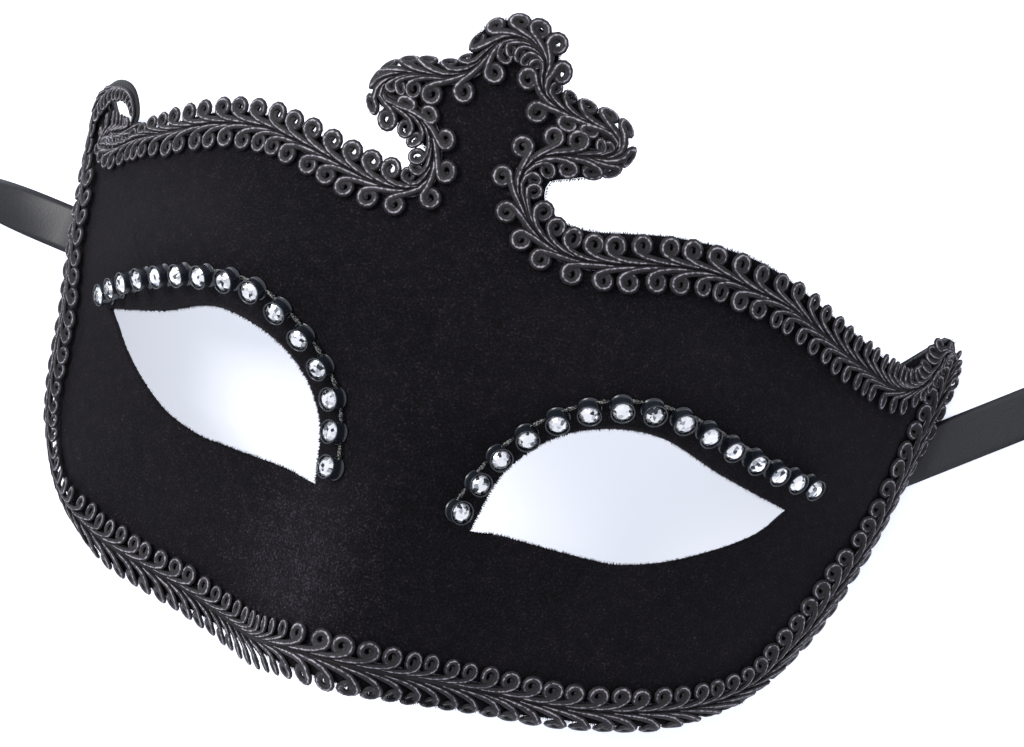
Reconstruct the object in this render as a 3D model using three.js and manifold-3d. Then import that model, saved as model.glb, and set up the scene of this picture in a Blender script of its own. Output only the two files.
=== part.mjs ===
// Masquerade eye mask: a stiff half mask covered in velvet, with a gimp braid
// round its border, a row of stones in cups over each eye and a tie ribbon at
// each side. It lies loose on its side edges. Millimetres, +X to the right as
// seen from the front, +Y to the crown, +Z out of the front of the mask.
import * as THREE from 'three';
import { mergeVertices } from 'three/addons/utils/BufferGeometryUtils.js';
import Module from 'manifold-3d';

const wasm = await Module();
wasm.setup();

// Face surface, measured with y = 0 on the eye line
const HALF_WIDTH = 90;
const FACE_HEIGHT = 53.96;
const FACE_DROP = 46.1;
const FACE_DROP_FOURTH = 4.4;
const CROWN_RISE_PER_MM = 0.225;
const NOSE_HEIGHT = 8.6;
const NOSE_HEIGHT_PER_MM = -0.1883;
const NOSE_WIDTH = 16.1;
const NOSE_WIDTH_PER_MM = -0.0617;
const NOSE_TOP_Y = 28;
const NOSE_FADE = 16;
const BROW_HEIGHT = 12;
const BROW_CENTRE = [40.3, 18.7];
const BROW_SPREAD = [39.5, 13.2];
const SIDE_START_X = 85;
const SIDE_START_ABOVE = 0.0035;
const SIDE_START_BELOW = -0.014;
const SIDE_RETURN = 0.085;

// Shell
const SHELL_WALL = 1.5;
const SHELL_INSET = 0.8;
const GRID_STEP = 7.4;
const NOSE_STEP = 4.2;
const NOSE_REACH = 25.2;
const GRID_REACH_X = 106;
const GRID_BOTTOM = -57;
const GRID_TOP = 82;
const PRISM_HEIGHT = 120;

// Braid
const BRAID_HALF_WIDTH = 5.2;
const BRAID_LIFT = 0.45;
const BRAID_GROOVE = 1.4;
const BRAID_ROW = 1.9;
const BRAID_FLOOR_GAP = 0.2;
const BRAID_SPLIT = 0.95;
const BRAID_STEPS = 208;

// Stones and their cups
const STONES_PER_ROW = 15;
const CUP_SIDES = 8;
const CUP_LIFT = 0.35;
const CUP_RIM = 3.2;
const CUP_FLOOR = 1.8;
const CUP_BASE_RADIUS = 2.0;
const CUP_RADIUS = 2.25;
const CUP_RECESS_RADIUS = 2.05;
const STONE_RADIUS = 1.75;
const STONE_TABLE_RADIUS = 1.0;
const STONE_BASE = 2.1;
const STONE_TOP = 3.4;
const LINK_WIDTH = 0.8;
const LINK_HEIGHT = 0.6;
const LINK_LIFT = 0.75;
const LINK_OVERLAP = 0.3;

// Tie ribbons
const RIBBON_WIDTH = 10;
const RIBBON_THICK = 0.5;
const RIBBON_SLOT_WIDTH = 12.4;
const RIBBON_SLOT_HEIGHT = 0.9;
const RIBBON_SLOT_INSIDE = 12;
const RIBBON_SLOT_OUTSIDE = 8;
const RIBBON_STEPS = 3;
const RIBBON_COIL_RADIUS = 30;
const RIBBON_COIL_BAND = 9.4;
const RIBBON_COIL_GAP = 0.3;
const RIBBON_COIL_SEGMENTS = 20;

// Right half of the braid's outer edge, from the crown to the chin. Each
// stretch is one smooth curve, and they meet in corners.
const OUTER_EDGE = [
  [[0, 77], [4, 76.3], [8, 73.5], [9.3, 70], [9.4, 66.8]],
  [[9.4, 66.8], [17.5, 65.2], [24, 61.5], [25.6, 56.6], [20.3, 51.9], [13, 48.6]],
  [[13, 48.6], [13.4, 46.6], [15.4, 44.5]],
  [[15.4, 44.5], [22, 44.5], [38, 48.9], [54, 49.9], [70, 45.6], [84.8, 41.2]],
  [[84.8, 41.2], [90, 46.6], [94.8, 50.6], [98.4, 46.8]],
  [[98.4, 46.8], [98.8, 33], [94, 9], [87, -17.4], [75, -35.5]],
  [[75, -35.5], [57.5, -44.6], [35, -48.6], [16, -51.2], [0, -51.2]],
];
const OUTER_EDGE_STEP = 4;

// Right eye hole, from the inner corner over the top to the outer corner and
// back along the lower edge
const EYE_UPPER = [[15.1, -17], [18.6, -3.4], [28, 6.4], [43, 10.7], [58, 7.6], [71.8, 5.4]];
const EYE_LOWER = [[71.8, 5.4], [66, -2], [54.5, -10], [38.6, -14.2], [22, -15.2], [15.1, -17]];
const EYE_STEPS = 11;

// Middle of the braid, right half, from the chin up the side, round the wing
// tip, along the brow, round the lobe beside the crown and to its top
const BRAID_SPINE = [
  [0, -46.2], [14, -45.4], [28, -44.6], [47, -42.8], [62, -38.5], [75.5, -31.5],
  [82.8, -22], [86.6, -12], [89.8, 8], [93.2, 30], [94.7, 38], [95.8, 46],
  [95.6, 50], [94.6, 49], [93.4, 44.6], [90.6, 39.8], [84.5, 37.2], [75, 39.8],
  [63, 43.2], [51, 44.8], [37, 43], [24, 39.4], [15, 39.4], [9.8, 42.6],
  [8.1, 47], [10.2, 52.6], [16, 55.2], [21.6, 56.2], [23.1, 58.4], [21, 61.6],
  [15.5, 62.9], [9.6, 64], [6.2, 66.8], [4.6, 70.4], [2.6, 72.2],
];
const CROWN_MIDDLE = [0, 72.4];

// Every second stone of each row, from beside the nose to the temple
const STONE_ROWS = {
  left: [[-11.7, -12.4], [-15.3, 0.4], [-24.4, 10.2], [-35.3, 15.7],
    [-46.5, 15.9], [-57.1, 14.3], [-66.8, 11.8], [-73.5, 8.6]],
  right: [[12, -13.3], [16.4, -1.3], [25.5, 8.8], [36.2, 14.2],
    [47.1, 15.3], [56.9, 13.6], [66.3, 12.1], [73.7, 11.7]],
};

// Where each ribbon passes under the side edge, its heading from there in
// degrees, how far it runs before the coil, and which way the coil turns
const RIBBONS = {
  left: { under: [-93.6, 20.8], heading: 173.8, inside: 6, run: 46.4, turn: 1 },
  right: { under: [94.6, 24.7], heading: 38.5, inside: 6, run: 52.3, turn: -1 },
};

const braidSection = [
  [-1, BRAID_LIFT], [0, BRAID_LIFT], [1, BRAID_LIFT],
  [0.6, BRAID_ROW], [0, BRAID_GROOVE], [-0.6, BRAID_ROW],
];

// Height of the face above the table at (x, y)
function faceHeight(x, y) {
  const across = (x / HALF_WIDTH) ** 2;
  const side = Math.abs(x);
  const noseHeight = (NOSE_HEIGHT + NOSE_HEIGHT_PER_MM * y) *
    0.5 * (1 - Math.tanh((y - NOSE_TOP_Y) / NOSE_FADE));
  const noseWidth = NOSE_WIDTH + NOSE_WIDTH_PER_MM * y;
  const browX = (side - BROW_CENTRE[0]) / BROW_SPREAD[0];
  const browY = (y - BROW_CENTRE[1]) / BROW_SPREAD[1];
  const bend = y > 0 ? SIDE_START_ABOVE : SIDE_START_BELOW;
  const past = Math.max(0, side - SIDE_START_X - bend * y * y);
  return FACE_HEIGHT - FACE_DROP * across - FACE_DROP_FOURTH * across * across +
    CROWN_RISE_PER_MM * y +
    noseHeight * Math.exp(-((x / noseWidth) ** 2)) +
    BROW_HEIGHT * Math.exp(-(browX ** 2) - browY ** 2) -
    SIDE_RETURN * past * past;
}

function faceNormal(x, y) {
  const h = 0.05;
  const slopeX = (faceHeight(x + h, y) - faceHeight(x - h, y)) / (2 * h);
  const slopeY = (faceHeight(x, y + h) - faceHeight(x, y - h)) / (2 * h);
  return new THREE.Vector3(-slopeX, -slopeY, 1).normalize();
}

// Point at a height above the face, measured along its normal
function abovePoint(x, y, height) {
  const base = new THREE.Vector3(x, y, faceHeight(x, y));
  return base.addScaledVector(faceNormal(x, y), height);
}

function solidOf(geometry) {
  const bare = geometry.index ? geometry.toNonIndexed() : geometry.clone();
  bare.deleteAttribute('normal');
  bare.deleteAttribute('uv');
  const merged = mergeVertices(bare, 1e-5);
  return new wasm.Manifold(new wasm.Mesh({
    numProp: 3,
    vertProperties: new Float32Array(merged.attributes.position.array),
    triVerts: new Uint32Array(merged.index.array),
  }));
}

function geometryOf(solid) {
  const mesh = solid.getMesh();
  const geometry = new THREE.BufferGeometry();
  geometry.setAttribute('position', new THREE.BufferAttribute(mesh.vertProperties, 3));
  geometry.setIndex(new THREE.BufferAttribute(mesh.triVerts, 1));
  return geometry;
}

// Closed geometry from rings of points, each ring joined to the next. The
// rings close on the first one, or are capped where the run is open.
function ringsGeometry(rings) {
  const size = rings[0].length;
  const positions = rings.flat().flatMap((point) => point.toArray());
  const index = [];
  rings.forEach((ring, i) => {
    const here = i * size;
    const next = ((i + 1) % rings.length) * size;
    for (let j = 0; j < size; j += 1) {
      const k = (j + 1) % size;
      index.push(here + j, next + k, here + k, here + j, next + j, next + k);
    }
  });
  const geometry = new THREE.BufferGeometry();
  geometry.setAttribute('position', new THREE.Float32BufferAttribute(positions, 3));
  geometry.setIndex(index);
  return geometry;
}

// Column or row positions spaced evenly along a line, as its points lie in space
function evenStops(from, to, step, point) {
  const fine = 400;
  const lengths = [0];
  for (let i = 1; i <= fine; i += 1) {
    const a = point(from + ((to - from) * (i - 1)) / fine);
    const b = point(from + ((to - from) * i) / fine);
    lengths.push(lengths[i - 1] + a.distanceTo(b));
  }
  const count = Math.round(lengths[fine] / step);
  const stops = [];
  for (let k = 0; k <= count; k += 1) {
    const target = (lengths[fine] * k) / count;
    const i = Math.min(fine, lengths.findIndex((length) => length >= target - 1e-9));
    stops.push(from + ((to - from) * i) / fine);
  }
  return stops;
}

// Thick sheet of the whole face, larger than the mask on all sides
function faceBlock() {
  const flat = (x) => new THREE.Vector3(x, 0, 0);
  const onFace = (x) => new THREE.Vector3(x, 0, faceHeight(x, 0));
  const nose = evenStops(0, NOSE_REACH, NOSE_STEP, flat);
  const right = [...nose, ...evenStops(NOSE_REACH, GRID_REACH_X, GRID_STEP, onFace).slice(1)];
  const columns = [...right.slice(1).reverse().map((x) => -x), ...right];
  const rows = evenStops(GRID_BOTTOM, GRID_TOP, GRID_STEP, flat);
  const positions = [];
  for (const height of [0, -SHELL_WALL]) {
    for (const y of rows) {
      for (const x of columns) {
        positions.push(...abovePoint(x, y, height).toArray());
      }
    }
  }
  const width = columns.length;
  const layer = width * rows.length;
  const index = [];
  const quad = (a, b, c, d) => index.push(a, b, c, a, c, d);
  for (let j = 0; j + 1 < rows.length; j += 1) {
    for (let i = 0; i + 1 < width; i += 1) {
      const a = j * width + i;
      quad(a, a + 1, a + width + 1, a + width);
      quad(layer + a, layer + a + width, layer + a + width + 1, layer + a + 1);
    }
  }
  const border = [];
  for (let i = 0; i + 1 < width; i += 1) border.push(i);
  for (let j = 0; j + 1 < rows.length; j += 1) border.push(j * width + width - 1);
  for (let i = width - 1; i > 0; i -= 1) border.push(layer - width + i);
  for (let j = rows.length - 1; j > 0; j -= 1) border.push(j * width);
  border.forEach((a, k) => {
    const b = border[(k + 1) % border.length];
    quad(a, layer + a, layer + b, b);
  });
  const geometry = new THREE.BufferGeometry();
  geometry.setAttribute('position', new THREE.Float32BufferAttribute(positions, 3));
  geometry.setIndex(index);
  return solidOf(geometry);
}

function splinePoints(points, divisions) {
  const curve = new THREE.SplineCurve(points.map(([x, y]) => new THREE.Vector2(x, y)));
  return curve.getSpacedPoints(divisions);
}

function halfOutline() {
  const half = [];
  for (const stretch of OUTER_EDGE) {
    const curve = new THREE.SplineCurve(stretch.map(([x, y]) => new THREE.Vector2(x, y)));
    const divisions = Math.max(2, Math.round(curve.getLength() / OUTER_EDGE_STEP));
    half.push(...curve.getSpacedPoints(divisions).slice(0, -1));
  }
  half.push(new THREE.Vector2(...OUTER_EDGE.at(-1).at(-1)));
  return half;
}

// Whole outer edge of the braid, anticlockwise from the chin
function outline() {
  const half = halfOutline().reverse();
  const mirrored = half.slice(1, -1).reverse().map((p) => new THREE.Vector2(-p.x, p.y));
  return [...half, ...mirrored];
}

// The outline moved inwards by a distance, corner by corner
function insetOutline(distance) {
  const points = outline();
  return points.map((p, i) => {
    const before = points[(i + points.length - 1) % points.length];
    const after = points[(i + 1) % points.length];
    const along = after.clone().sub(before).normalize();
    return new THREE.Vector2(p.x - along.y * distance, p.y + along.x * distance);
  });
}

function eyeOutline(side) {
  const upper = splinePoints(EYE_UPPER, EYE_STEPS).slice(0, -1);
  const lower = splinePoints(EYE_LOWER, EYE_STEPS).slice(0, -1);
  return [...upper, ...lower].map((p) => new THREE.Vector2(side * p.x, p.y));
}

// Upright block with a plan outline, from below the table to above the crown
function prism(points, holes = []) {
  const shape = new THREE.Shape(points);
  shape.holes = holes.map((hole) => new THREE.Path(hole));
  const geometry = new THREE.ExtrudeGeometry(shape, { depth: PRISM_HEIGHT, bevelEnabled: false });
  geometry.translate(0, 0, -PRISM_HEIGHT / 4);
  return solidOf(geometry);
}

// Everything lower than a level, to cut away
function belowLevel(level) {
  const box = new THREE.BoxGeometry(400, 400, 100);
  box.translate(0, 0, level - 50);
  return solidOf(box);
}

// Room for a ribbon under the side edge
function ribbonSlot({ under, heading }) {
  const length = RIBBON_SLOT_INSIDE + RIBBON_SLOT_OUTSIDE;
  const box = new THREE.BoxGeometry(length, RIBBON_SLOT_WIDTH, 2 * RIBBON_SLOT_HEIGHT);
  box.translate((RIBBON_SLOT_OUTSIDE - RIBBON_SLOT_INSIDE) / 2, 0, 0);
  box.rotateZ(THREE.MathUtils.degToRad(heading));
  box.translate(under[0], under[1], 0);
  return solidOf(box);
}

function cutRibbonSlots(solid) {
  return Object.values(RIBBONS).reduce((rest, ribbon) => rest.subtract(ribbonSlot(ribbon)), solid);
}

function maskShell() {
  const holes = [eyeOutline(1), eyeOutline(-1)];
  const shell = faceBlock().intersect(prism(insetOutline(SHELL_INSET), holes));
  return geometryOf(cutRibbonSlots(shell.subtract(belowLevel(0))));
}

// Closed line along the middle of the braid, seen from the front
function braidLine() {
  const half = BRAID_SPINE.map(([x, y]) => new THREE.Vector3(x, y, 0));
  const left = half.slice(1).reverse().map((p) => new THREE.Vector3(-p.x, p.y, 0));
  const points = [...half, new THREE.Vector3(...CROWN_MIDDLE, 0), ...left];
  return new THREE.CatmullRomCurve3(points, true, 'centripetal');
}

// Room beside point i towards a side: half the way to the nearest other part
// of the line, as the largest circle that touches the line there
function roomBeside(points, i, side) {
  let room = Infinity;
  for (const other of points) {
    const away = other.clone().sub(points[i]);
    const reach = away.dot(side);
    if (reach > 1e-6) {
      room = Math.min(room, away.lengthSq() / (2 * reach));
    }
  }
  return room * BRAID_SPLIT;
}

// Distance from a point to the outline along a direction
function distanceToOutline(point, direction, border) {
  let nearest = Infinity;
  border.forEach((a, i) => {
    const b = border[(i + 1) % border.length];
    const edge = [b.x - a.x, b.y - a.y];
    const gap = [a.x - point.x, a.y - point.y];
    const turn = direction.x * edge[1] - direction.y * edge[0];
    if (Math.abs(turn) < 1e-9) return;
    const along = (gap[0] * edge[1] - gap[1] * edge[0]) / turn;
    const share = (gap[0] * direction.y - gap[1] * direction.x) / turn;
    if (share >= 0 && share <= 1 && along > 0) {
      nearest = Math.min(nearest, along);
    }
  });
  return nearest;
}

// How far to go in plan for a length measured on the sloping face
function planReach(point, side, length) {
  const steps = 8;
  let gone = 0;
  for (let k = 0; k < steps; k += 1) {
    const here = point.clone().addScaledVector(side, gone);
    const ahead = here.clone().addScaledVector(side, 0.1);
    const slope = (faceHeight(ahead.x, ahead.y) - faceHeight(here.x, here.y)) / 0.1;
    gone += length / steps / Math.hypot(1, slope);
  }
  return gone;
}

function gimpBraid() {
  const border = outline();
  const curve = braidLine();
  const points = curve.getPoints(BRAID_STEPS).slice(0, -1);
  const rings = points.map((point, i) => {
    const before = points[(i + points.length - 1) % points.length];
    const after = points[(i + 1) % points.length];
    const along = after.clone().sub(before).normalize();
    const inward = new THREE.Vector3(-along.y, along.x, 0);
    const outward = inward.clone().negate();
    const inside = Math.min(planReach(point, inward, BRAID_HALF_WIDTH), roomBeside(points, i, inward));
    const outside = Math.min(
      planReach(point, outward, BRAID_HALF_WIDTH),
      roomBeside(points, i, outward),
      distanceToOutline(point, outward, border),
    );
    return braidSection.map(([share, height]) => {
      const reach = share < 0 ? inside * share : outside * share;
      const at = point.clone().addScaledVector(outward, reach);
      return abovePoint(at.x, at.y, height);
    });
  });
  const band = solidOf(ringsGeometry(rings));
  return geometryOf(cutRibbonSlots(band.subtract(belowLevel(BRAID_FLOOR_GAP))));
}

function rowPoint(row, number) {
  const curve = new THREE.CatmullRomCurve3(row.map(([x, y]) => new THREE.Vector3(x, y, 0)));
  curve.curveType = 'catmullrom';
  return curve.getPoint(number / (STONES_PER_ROW - 1));
}

// Turns a shape that stands on +Z so that it stands on the face at a point
function standOnFace(geometry, point) {
  const turn = new THREE.Quaternion().setFromUnitVectors(
    new THREE.Vector3(0, 0, 1), faceNormal(point.x, point.y),
  );
  geometry.applyQuaternion(turn);
  geometry.translate(point.x, point.y, faceHeight(point.x, point.y));
  return geometry;
}

// Turned profile of [radius, height] points that starts and ends on the axis
function turned(profile) {
  const points = profile.map(([radius, height]) => new THREE.Vector2(radius, height));
  const geometry = new THREE.LatheGeometry(points, CUP_SIDES);
  geometry.rotateX(Math.PI / 2);
  return geometry;
}

function cup(point) {
  return solidOf(standOnFace(turned([
    [0, CUP_LIFT], [CUP_BASE_RADIUS, CUP_LIFT], [CUP_RADIUS, CUP_RIM],
    [CUP_RECESS_RADIUS, CUP_RIM], [CUP_RECESS_RADIUS, CUP_FLOOR], [0, CUP_FLOOR],
  ]), point));
}

// Thin bar from one cup's wall to the next, just above the face
function cupLink(from, to) {
  const height = LINK_LIFT + LINK_HEIGHT / 2;
  const start = abovePoint(from.x, from.y, height);
  const end = abovePoint(to.x, to.y, height);
  const length = start.distanceTo(end) - 2 * CUP_BASE_RADIUS + 2 * LINK_OVERLAP;
  const bar = new THREE.BoxGeometry(length, LINK_WIDTH, LINK_HEIGHT);
  const along = end.clone().sub(start).normalize();
  const up = faceNormal((from.x + to.x) / 2, (from.y + to.y) / 2);
  const across = up.clone().cross(along).normalize();
  up.crossVectors(along, across);
  bar.applyMatrix4(new THREE.Matrix4().makeBasis(along, across, up));
  const middle = start.add(end).multiplyScalar(0.5);
  bar.translate(middle.x, middle.y, middle.z);
  return solidOf(bar);
}

function stoneStrip(row) {
  let strip = cup(rowPoint(row, 0));
  for (let i = 1; i < STONES_PER_ROW; i += 1) {
    const link = cupLink(rowPoint(row, i - 1), rowPoint(row, i));
    strip = strip.add(link).add(cup(rowPoint(row, i)));
  }
  return geometryOf(strip);
}

function stone(point) {
  return geometryOf(solidOf(standOnFace(turned([
    [0, STONE_BASE], [STONE_RADIUS, STONE_BASE],
    [STONE_TABLE_RADIUS, STONE_TOP], [0, STONE_TOP],
  ]), point)));
}

// Flat strip on the table, from inside the side edge to the coil
function ribbonStrip({ under, heading, inside, run }) {
  const angle = THREE.MathUtils.degToRad(heading);
  const along = new THREE.Vector3(Math.cos(angle), Math.sin(angle), 0);
  const level = RIBBON_THICK / 2;
  const start = new THREE.Vector3(under[0], under[1], level).addScaledVector(along, -inside);
  const end = new THREE.Vector3(under[0], under[1], level).addScaledVector(along, run);
  const halfWide = RIBBON_WIDTH / 2;
  const halfThick = RIBBON_THICK / 2;
  const corner = halfThick * 0.5;
  const section = new THREE.Shape([
    new THREE.Vector2(-halfThick + corner, -halfWide), new THREE.Vector2(halfThick - corner, -halfWide),
    new THREE.Vector2(halfThick, -halfWide + corner), new THREE.Vector2(halfThick, halfWide - corner),
    new THREE.Vector2(halfThick - corner, halfWide), new THREE.Vector2(-halfThick + corner, halfWide),
    new THREE.Vector2(-halfThick, halfWide - corner), new THREE.Vector2(-halfThick, -halfWide + corner),
  ]);
  return new THREE.ExtrudeGeometry(section, {
    steps: RIBBON_STEPS, bevelEnabled: false, extrudePath: new THREE.LineCurve3(start, end),
  });
}

// Outer shape of the wound ribbon, which stands on its edge in loose turns
// beside the end of the flat strip
function ribbonCoil({ under, heading, run, turn }) {
  const angle = THREE.MathUtils.degToRad(heading);
  const outer = RIBBON_COIL_RADIUS;
  const aside = turn * (outer + RIBBON_WIDTH / 2 + RIBBON_COIL_GAP);
  const inner = outer - RIBBON_COIL_BAND;
  const ring = new THREE.LatheGeometry([
    new THREE.Vector2(inner, 0), new THREE.Vector2(outer, 0),
    new THREE.Vector2(outer, RIBBON_WIDTH), new THREE.Vector2(inner, RIBBON_WIDTH),
    new THREE.Vector2(inner, 0),
  ], RIBBON_COIL_SEGMENTS);
  ring.rotateX(Math.PI / 2);
  ring.translate(
    under[0] + Math.cos(angle) * run - Math.sin(angle) * aside,
    under[1] + Math.sin(angle) * run + Math.cos(angle) * aside,
    0,
  );
  return ring;
}

const velvet = { color: 0x1b181d, roughness: 0.95, metalness: 0 };
const gimp = { color: 0x2a282b, roughness: 0.7, metalness: 0 };
const blackPlastic = { color: 0x0b0b0d, roughness: 0.2, metalness: 0 };
const silverStone = { color: 0xc4c8ce, roughness: 0.12, metalness: 0.9 };
const satin = { color: 0x16151a, roughness: 0.45, metalness: 0 };

function addPiece(parent, name, geometry, finish) {
  const mesh = new THREE.Mesh(geometry, new THREE.MeshStandardMaterial(finish));
  mesh.name = name;
  parent.add(mesh);
}

const body = new THREE.Group();
addPiece(body, 'mask_shell', maskShell(), velvet);
addPiece(body, 'gimp_braid', gimpBraid(), gimp);
for (const [side, row] of Object.entries(STONE_ROWS)) {
  addPiece(body, `stone_strip_${side}`, stoneStrip(row), blackPlastic);
  for (let i = 0; i < STONES_PER_ROW; i += 1) {
    const number = String(i + 1).padStart(2, '0');
    addPiece(body, `stone_${side}_${number}`, stone(rowPoint(row, i)), silverStone);
  }
}

const mask = new THREE.Group();
mask.add(body);
for (const [side, ribbon] of Object.entries(RIBBONS)) {
  addPiece(mask, `ribbon_${side}`, ribbonStrip(ribbon), satin);
  addPiece(mask, `ribbon_coil_${side}`, ribbonCoil(ribbon), satin);
}

// The origin is under the middle of the mask without its ribbons
const middle = new THREE.Box3().setFromObject(body).getCenter(new THREE.Vector3());
mask.position.set(-middle.x, -middle.y, 0);

export default mask;
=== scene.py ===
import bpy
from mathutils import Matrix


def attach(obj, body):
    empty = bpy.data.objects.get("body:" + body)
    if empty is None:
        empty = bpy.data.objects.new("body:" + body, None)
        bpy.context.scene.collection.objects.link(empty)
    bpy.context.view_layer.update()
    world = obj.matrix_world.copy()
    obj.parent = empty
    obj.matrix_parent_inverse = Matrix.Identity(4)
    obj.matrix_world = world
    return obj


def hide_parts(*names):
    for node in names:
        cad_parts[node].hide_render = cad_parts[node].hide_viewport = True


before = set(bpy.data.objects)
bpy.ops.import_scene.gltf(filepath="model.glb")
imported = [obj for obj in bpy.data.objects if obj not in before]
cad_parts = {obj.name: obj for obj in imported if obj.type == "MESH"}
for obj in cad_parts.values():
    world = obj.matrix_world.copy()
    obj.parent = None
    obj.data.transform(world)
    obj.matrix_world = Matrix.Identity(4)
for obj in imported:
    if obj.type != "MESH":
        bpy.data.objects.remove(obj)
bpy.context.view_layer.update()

import math

import bmesh
import bpy
import numpy as np
from mathutils import Matrix

# Camera. A long lens looks down on the lying mask from a little right of its
# nose, turned so that the mask leans to the right in the picture. Lengths are
# in millimetres, and y is measured from the mask's eye line.
MM = 0.001
EYE_LINE_Y = -12.83
CAMERA_PLACE = (58.73, -11.84, 427.03)
CAMERA_TILT = math.radians(4)
CAMERA_SWING = math.radians(6.758)
CAMERA_ROLL = math.radians(16.363)
FOCAL_LENGTH_PIXELS = 2000
PICTURE_WIDTH_PIXELS = 1024
SENSOR_WIDTH = 36.0

bpy.context.scene.view_settings.view_transform = "Standard"
camera_data = bpy.data.cameras.new("camera")
camera_data.sensor_width = SENSOR_WIDTH
camera_data.lens = SENSOR_WIDTH * FOCAL_LENGTH_PIXELS / PICTURE_WIDTH_PIXELS
camera = bpy.data.objects.new("camera", camera_data)
bpy.context.collection.objects.link(camera)
camera_x, camera_y, camera_z = CAMERA_PLACE
camera.matrix_world = (
    Matrix.Translation((camera_x * MM, (camera_y + EYE_LINE_Y) * MM, camera_z * MM))
    @ Matrix.Rotation(CAMERA_TILT, 4, "X")
    @ Matrix.Rotation(CAMERA_SWING, 4, "Y")
    @ Matrix.Rotation(CAMERA_ROLL, 4, "Z")
)
bpy.context.scene.camera = camera

# Tie ribbons. Two limp black satin ribbons, woven with firm edges and glued
# inside the side edges. Each passes under the edge, lies on the table, and
# the length that the view leaves out stands on its edge in a loose winding.
RIBBON_LENGTH = 400.0
RIBBON_WIDTH = 10.2
RIBBON_THICK = 0.3
EDGE_THINNING = 0.6
GLUED_LENGTH = 8.5
BEHIND_WALL = 0.4
BELOW_WALL = 1.0
UNDER_EDGE_ROUNDING = 1.4
LYING_HEIGHT = 0.3
FLAT_START = 3.0
SWING_LENGTH = 20.0
COIL_RADIUS = 29.5
COIL_ASIDE = 35.3
COIL_PITCH = 4.2
COIL_TURNS = 3
COIL_ENTRY = math.radians(35)
ROUTE_STEP = 1.0
WALL_POINTS = 10
FLAT_POINTS = 8
SWING_POINTS = 12
COIL_POINTS = 400
SECTION_POINTS = 9
# Where each ribbon passes under the edge, its heading in degrees, the length
# to the coil, the side that it winds to, and between which lengths it turns
# from lying flat to standing on its edge.
RIBBONS = {
    "left": {"under": (-93.6, 20.8), "heading": 173.8, "run": 46.4, "turn": 1, "twist": (3.0, 50.0)},
    "right": {"under": (94.6, 24.7), "heading": 38.5, "run": 52.3, "turn": -1, "twist": (27.0, 56.0)},
}
# The front that the ribbons are glued behind: the height of its middle, the
# fall to the temples, the rise to the crown, the nose ridge, the two brows,
# and the sides that turn down past a bowed line.
SHELL_WALL = 1.5
MIDDLE_HEIGHT = 53.96
TEMPLE_X = 90
TEMPLE_FALL_SQUARE = 46.1
TEMPLE_FALL_FOURTH = 4.4
CROWN_RISE = 0.225
NOSE_HEIGHT = 8.6
NOSE_LOWERING = 0.1883
NOSE_END_Y = 28
NOSE_END_SPAN = 16
NOSE_WIDTH = 16.1
NOSE_NARROWING = 0.0617
BROW_HEIGHT = 12
BROW_X = 40.3
BROW_Y = 18.7
BROW_SPREAD_X = 39.5
BROW_SPREAD_Y = 13.2
SIDE_TURN_X = 85
SIDE_BOW_ABOVE = 0.0035
SIDE_BOW_BELOW = -0.014
SIDE_FALL = 0.085
# A short step to take slopes over, and how near points count as the same one.
SLOPE_STEP = 0.05
SAME_POINT = 0.0001


def face_height(x, y):
    """Height of the mask's front above the table in millimetres: a falling
    curve of the second and fourth power across, a steady rise to the crown, a
    bell-shaped nose ridge, a bell-shaped brow over each eye, and a square
    fall that turns the sides down."""
    side = np.abs(x)
    across = (x / TEMPLE_X) ** 2
    ridge = (NOSE_HEIGHT - NOSE_LOWERING * y) * 0.5 * (1 - np.tanh((y - NOSE_END_Y) / NOSE_END_SPAN))
    nose = ridge * np.exp(-((x / (NOSE_WIDTH - NOSE_NARROWING * y)) ** 2))
    from_brow = ((side - BROW_X) / BROW_SPREAD_X) ** 2 + ((y - BROW_Y) / BROW_SPREAD_Y) ** 2
    bow = np.where(y > 0, SIDE_BOW_ABOVE, SIDE_BOW_BELOW) * y * y
    past = np.maximum(0, side - SIDE_TURN_X - bow)
    return (
        MIDDLE_HEIGHT - TEMPLE_FALL_SQUARE * across - TEMPLE_FALL_FOURTH * across**2 + CROWN_RISE * y
        + nose + BROW_HEIGHT * np.exp(-from_brow) - SIDE_FALL * past**2
    )


def unit(vectors):
    """Vectors of the same direction and length one."""
    return vectors / np.linalg.norm(vectors, axis=-1, keepdims=True)


def face_normal(x, y):
    """Unit vector out of the front at (x, y), from the height's two slopes."""
    rise_x = face_height(x + SLOPE_STEP, y) - face_height(x - SLOPE_STEP, y)
    rise_y = face_height(x, y + SLOPE_STEP) - face_height(x, y - SLOPE_STEP)
    span = 2 * SLOPE_STEP
    return unit(np.stack([-rise_x / span, -rise_y / span, np.ones_like(rise_x)], axis=-1))


def above_face(x, y, height):
    """Points at a height over the front, measured along its normal."""
    base = np.stack([x, y, face_height(x, y)], axis=-1)
    return base + face_normal(x, y) * np.asarray(height)[..., None]


def even_line(points, step):
    """The same line with its points a constant step apart, measured along it,
    and the length at which each point lies."""
    points = np.asarray(points, float)
    gone = np.concatenate([[0], np.cumsum(np.linalg.norm(np.diff(points, axis=0), axis=1))])
    stops = np.linspace(0, gone[-1], max(2, int(round(gone[-1] / step)) + 1))
    return np.stack([np.interp(stops, gone, column) for column in points.T], axis=1), stops


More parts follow.
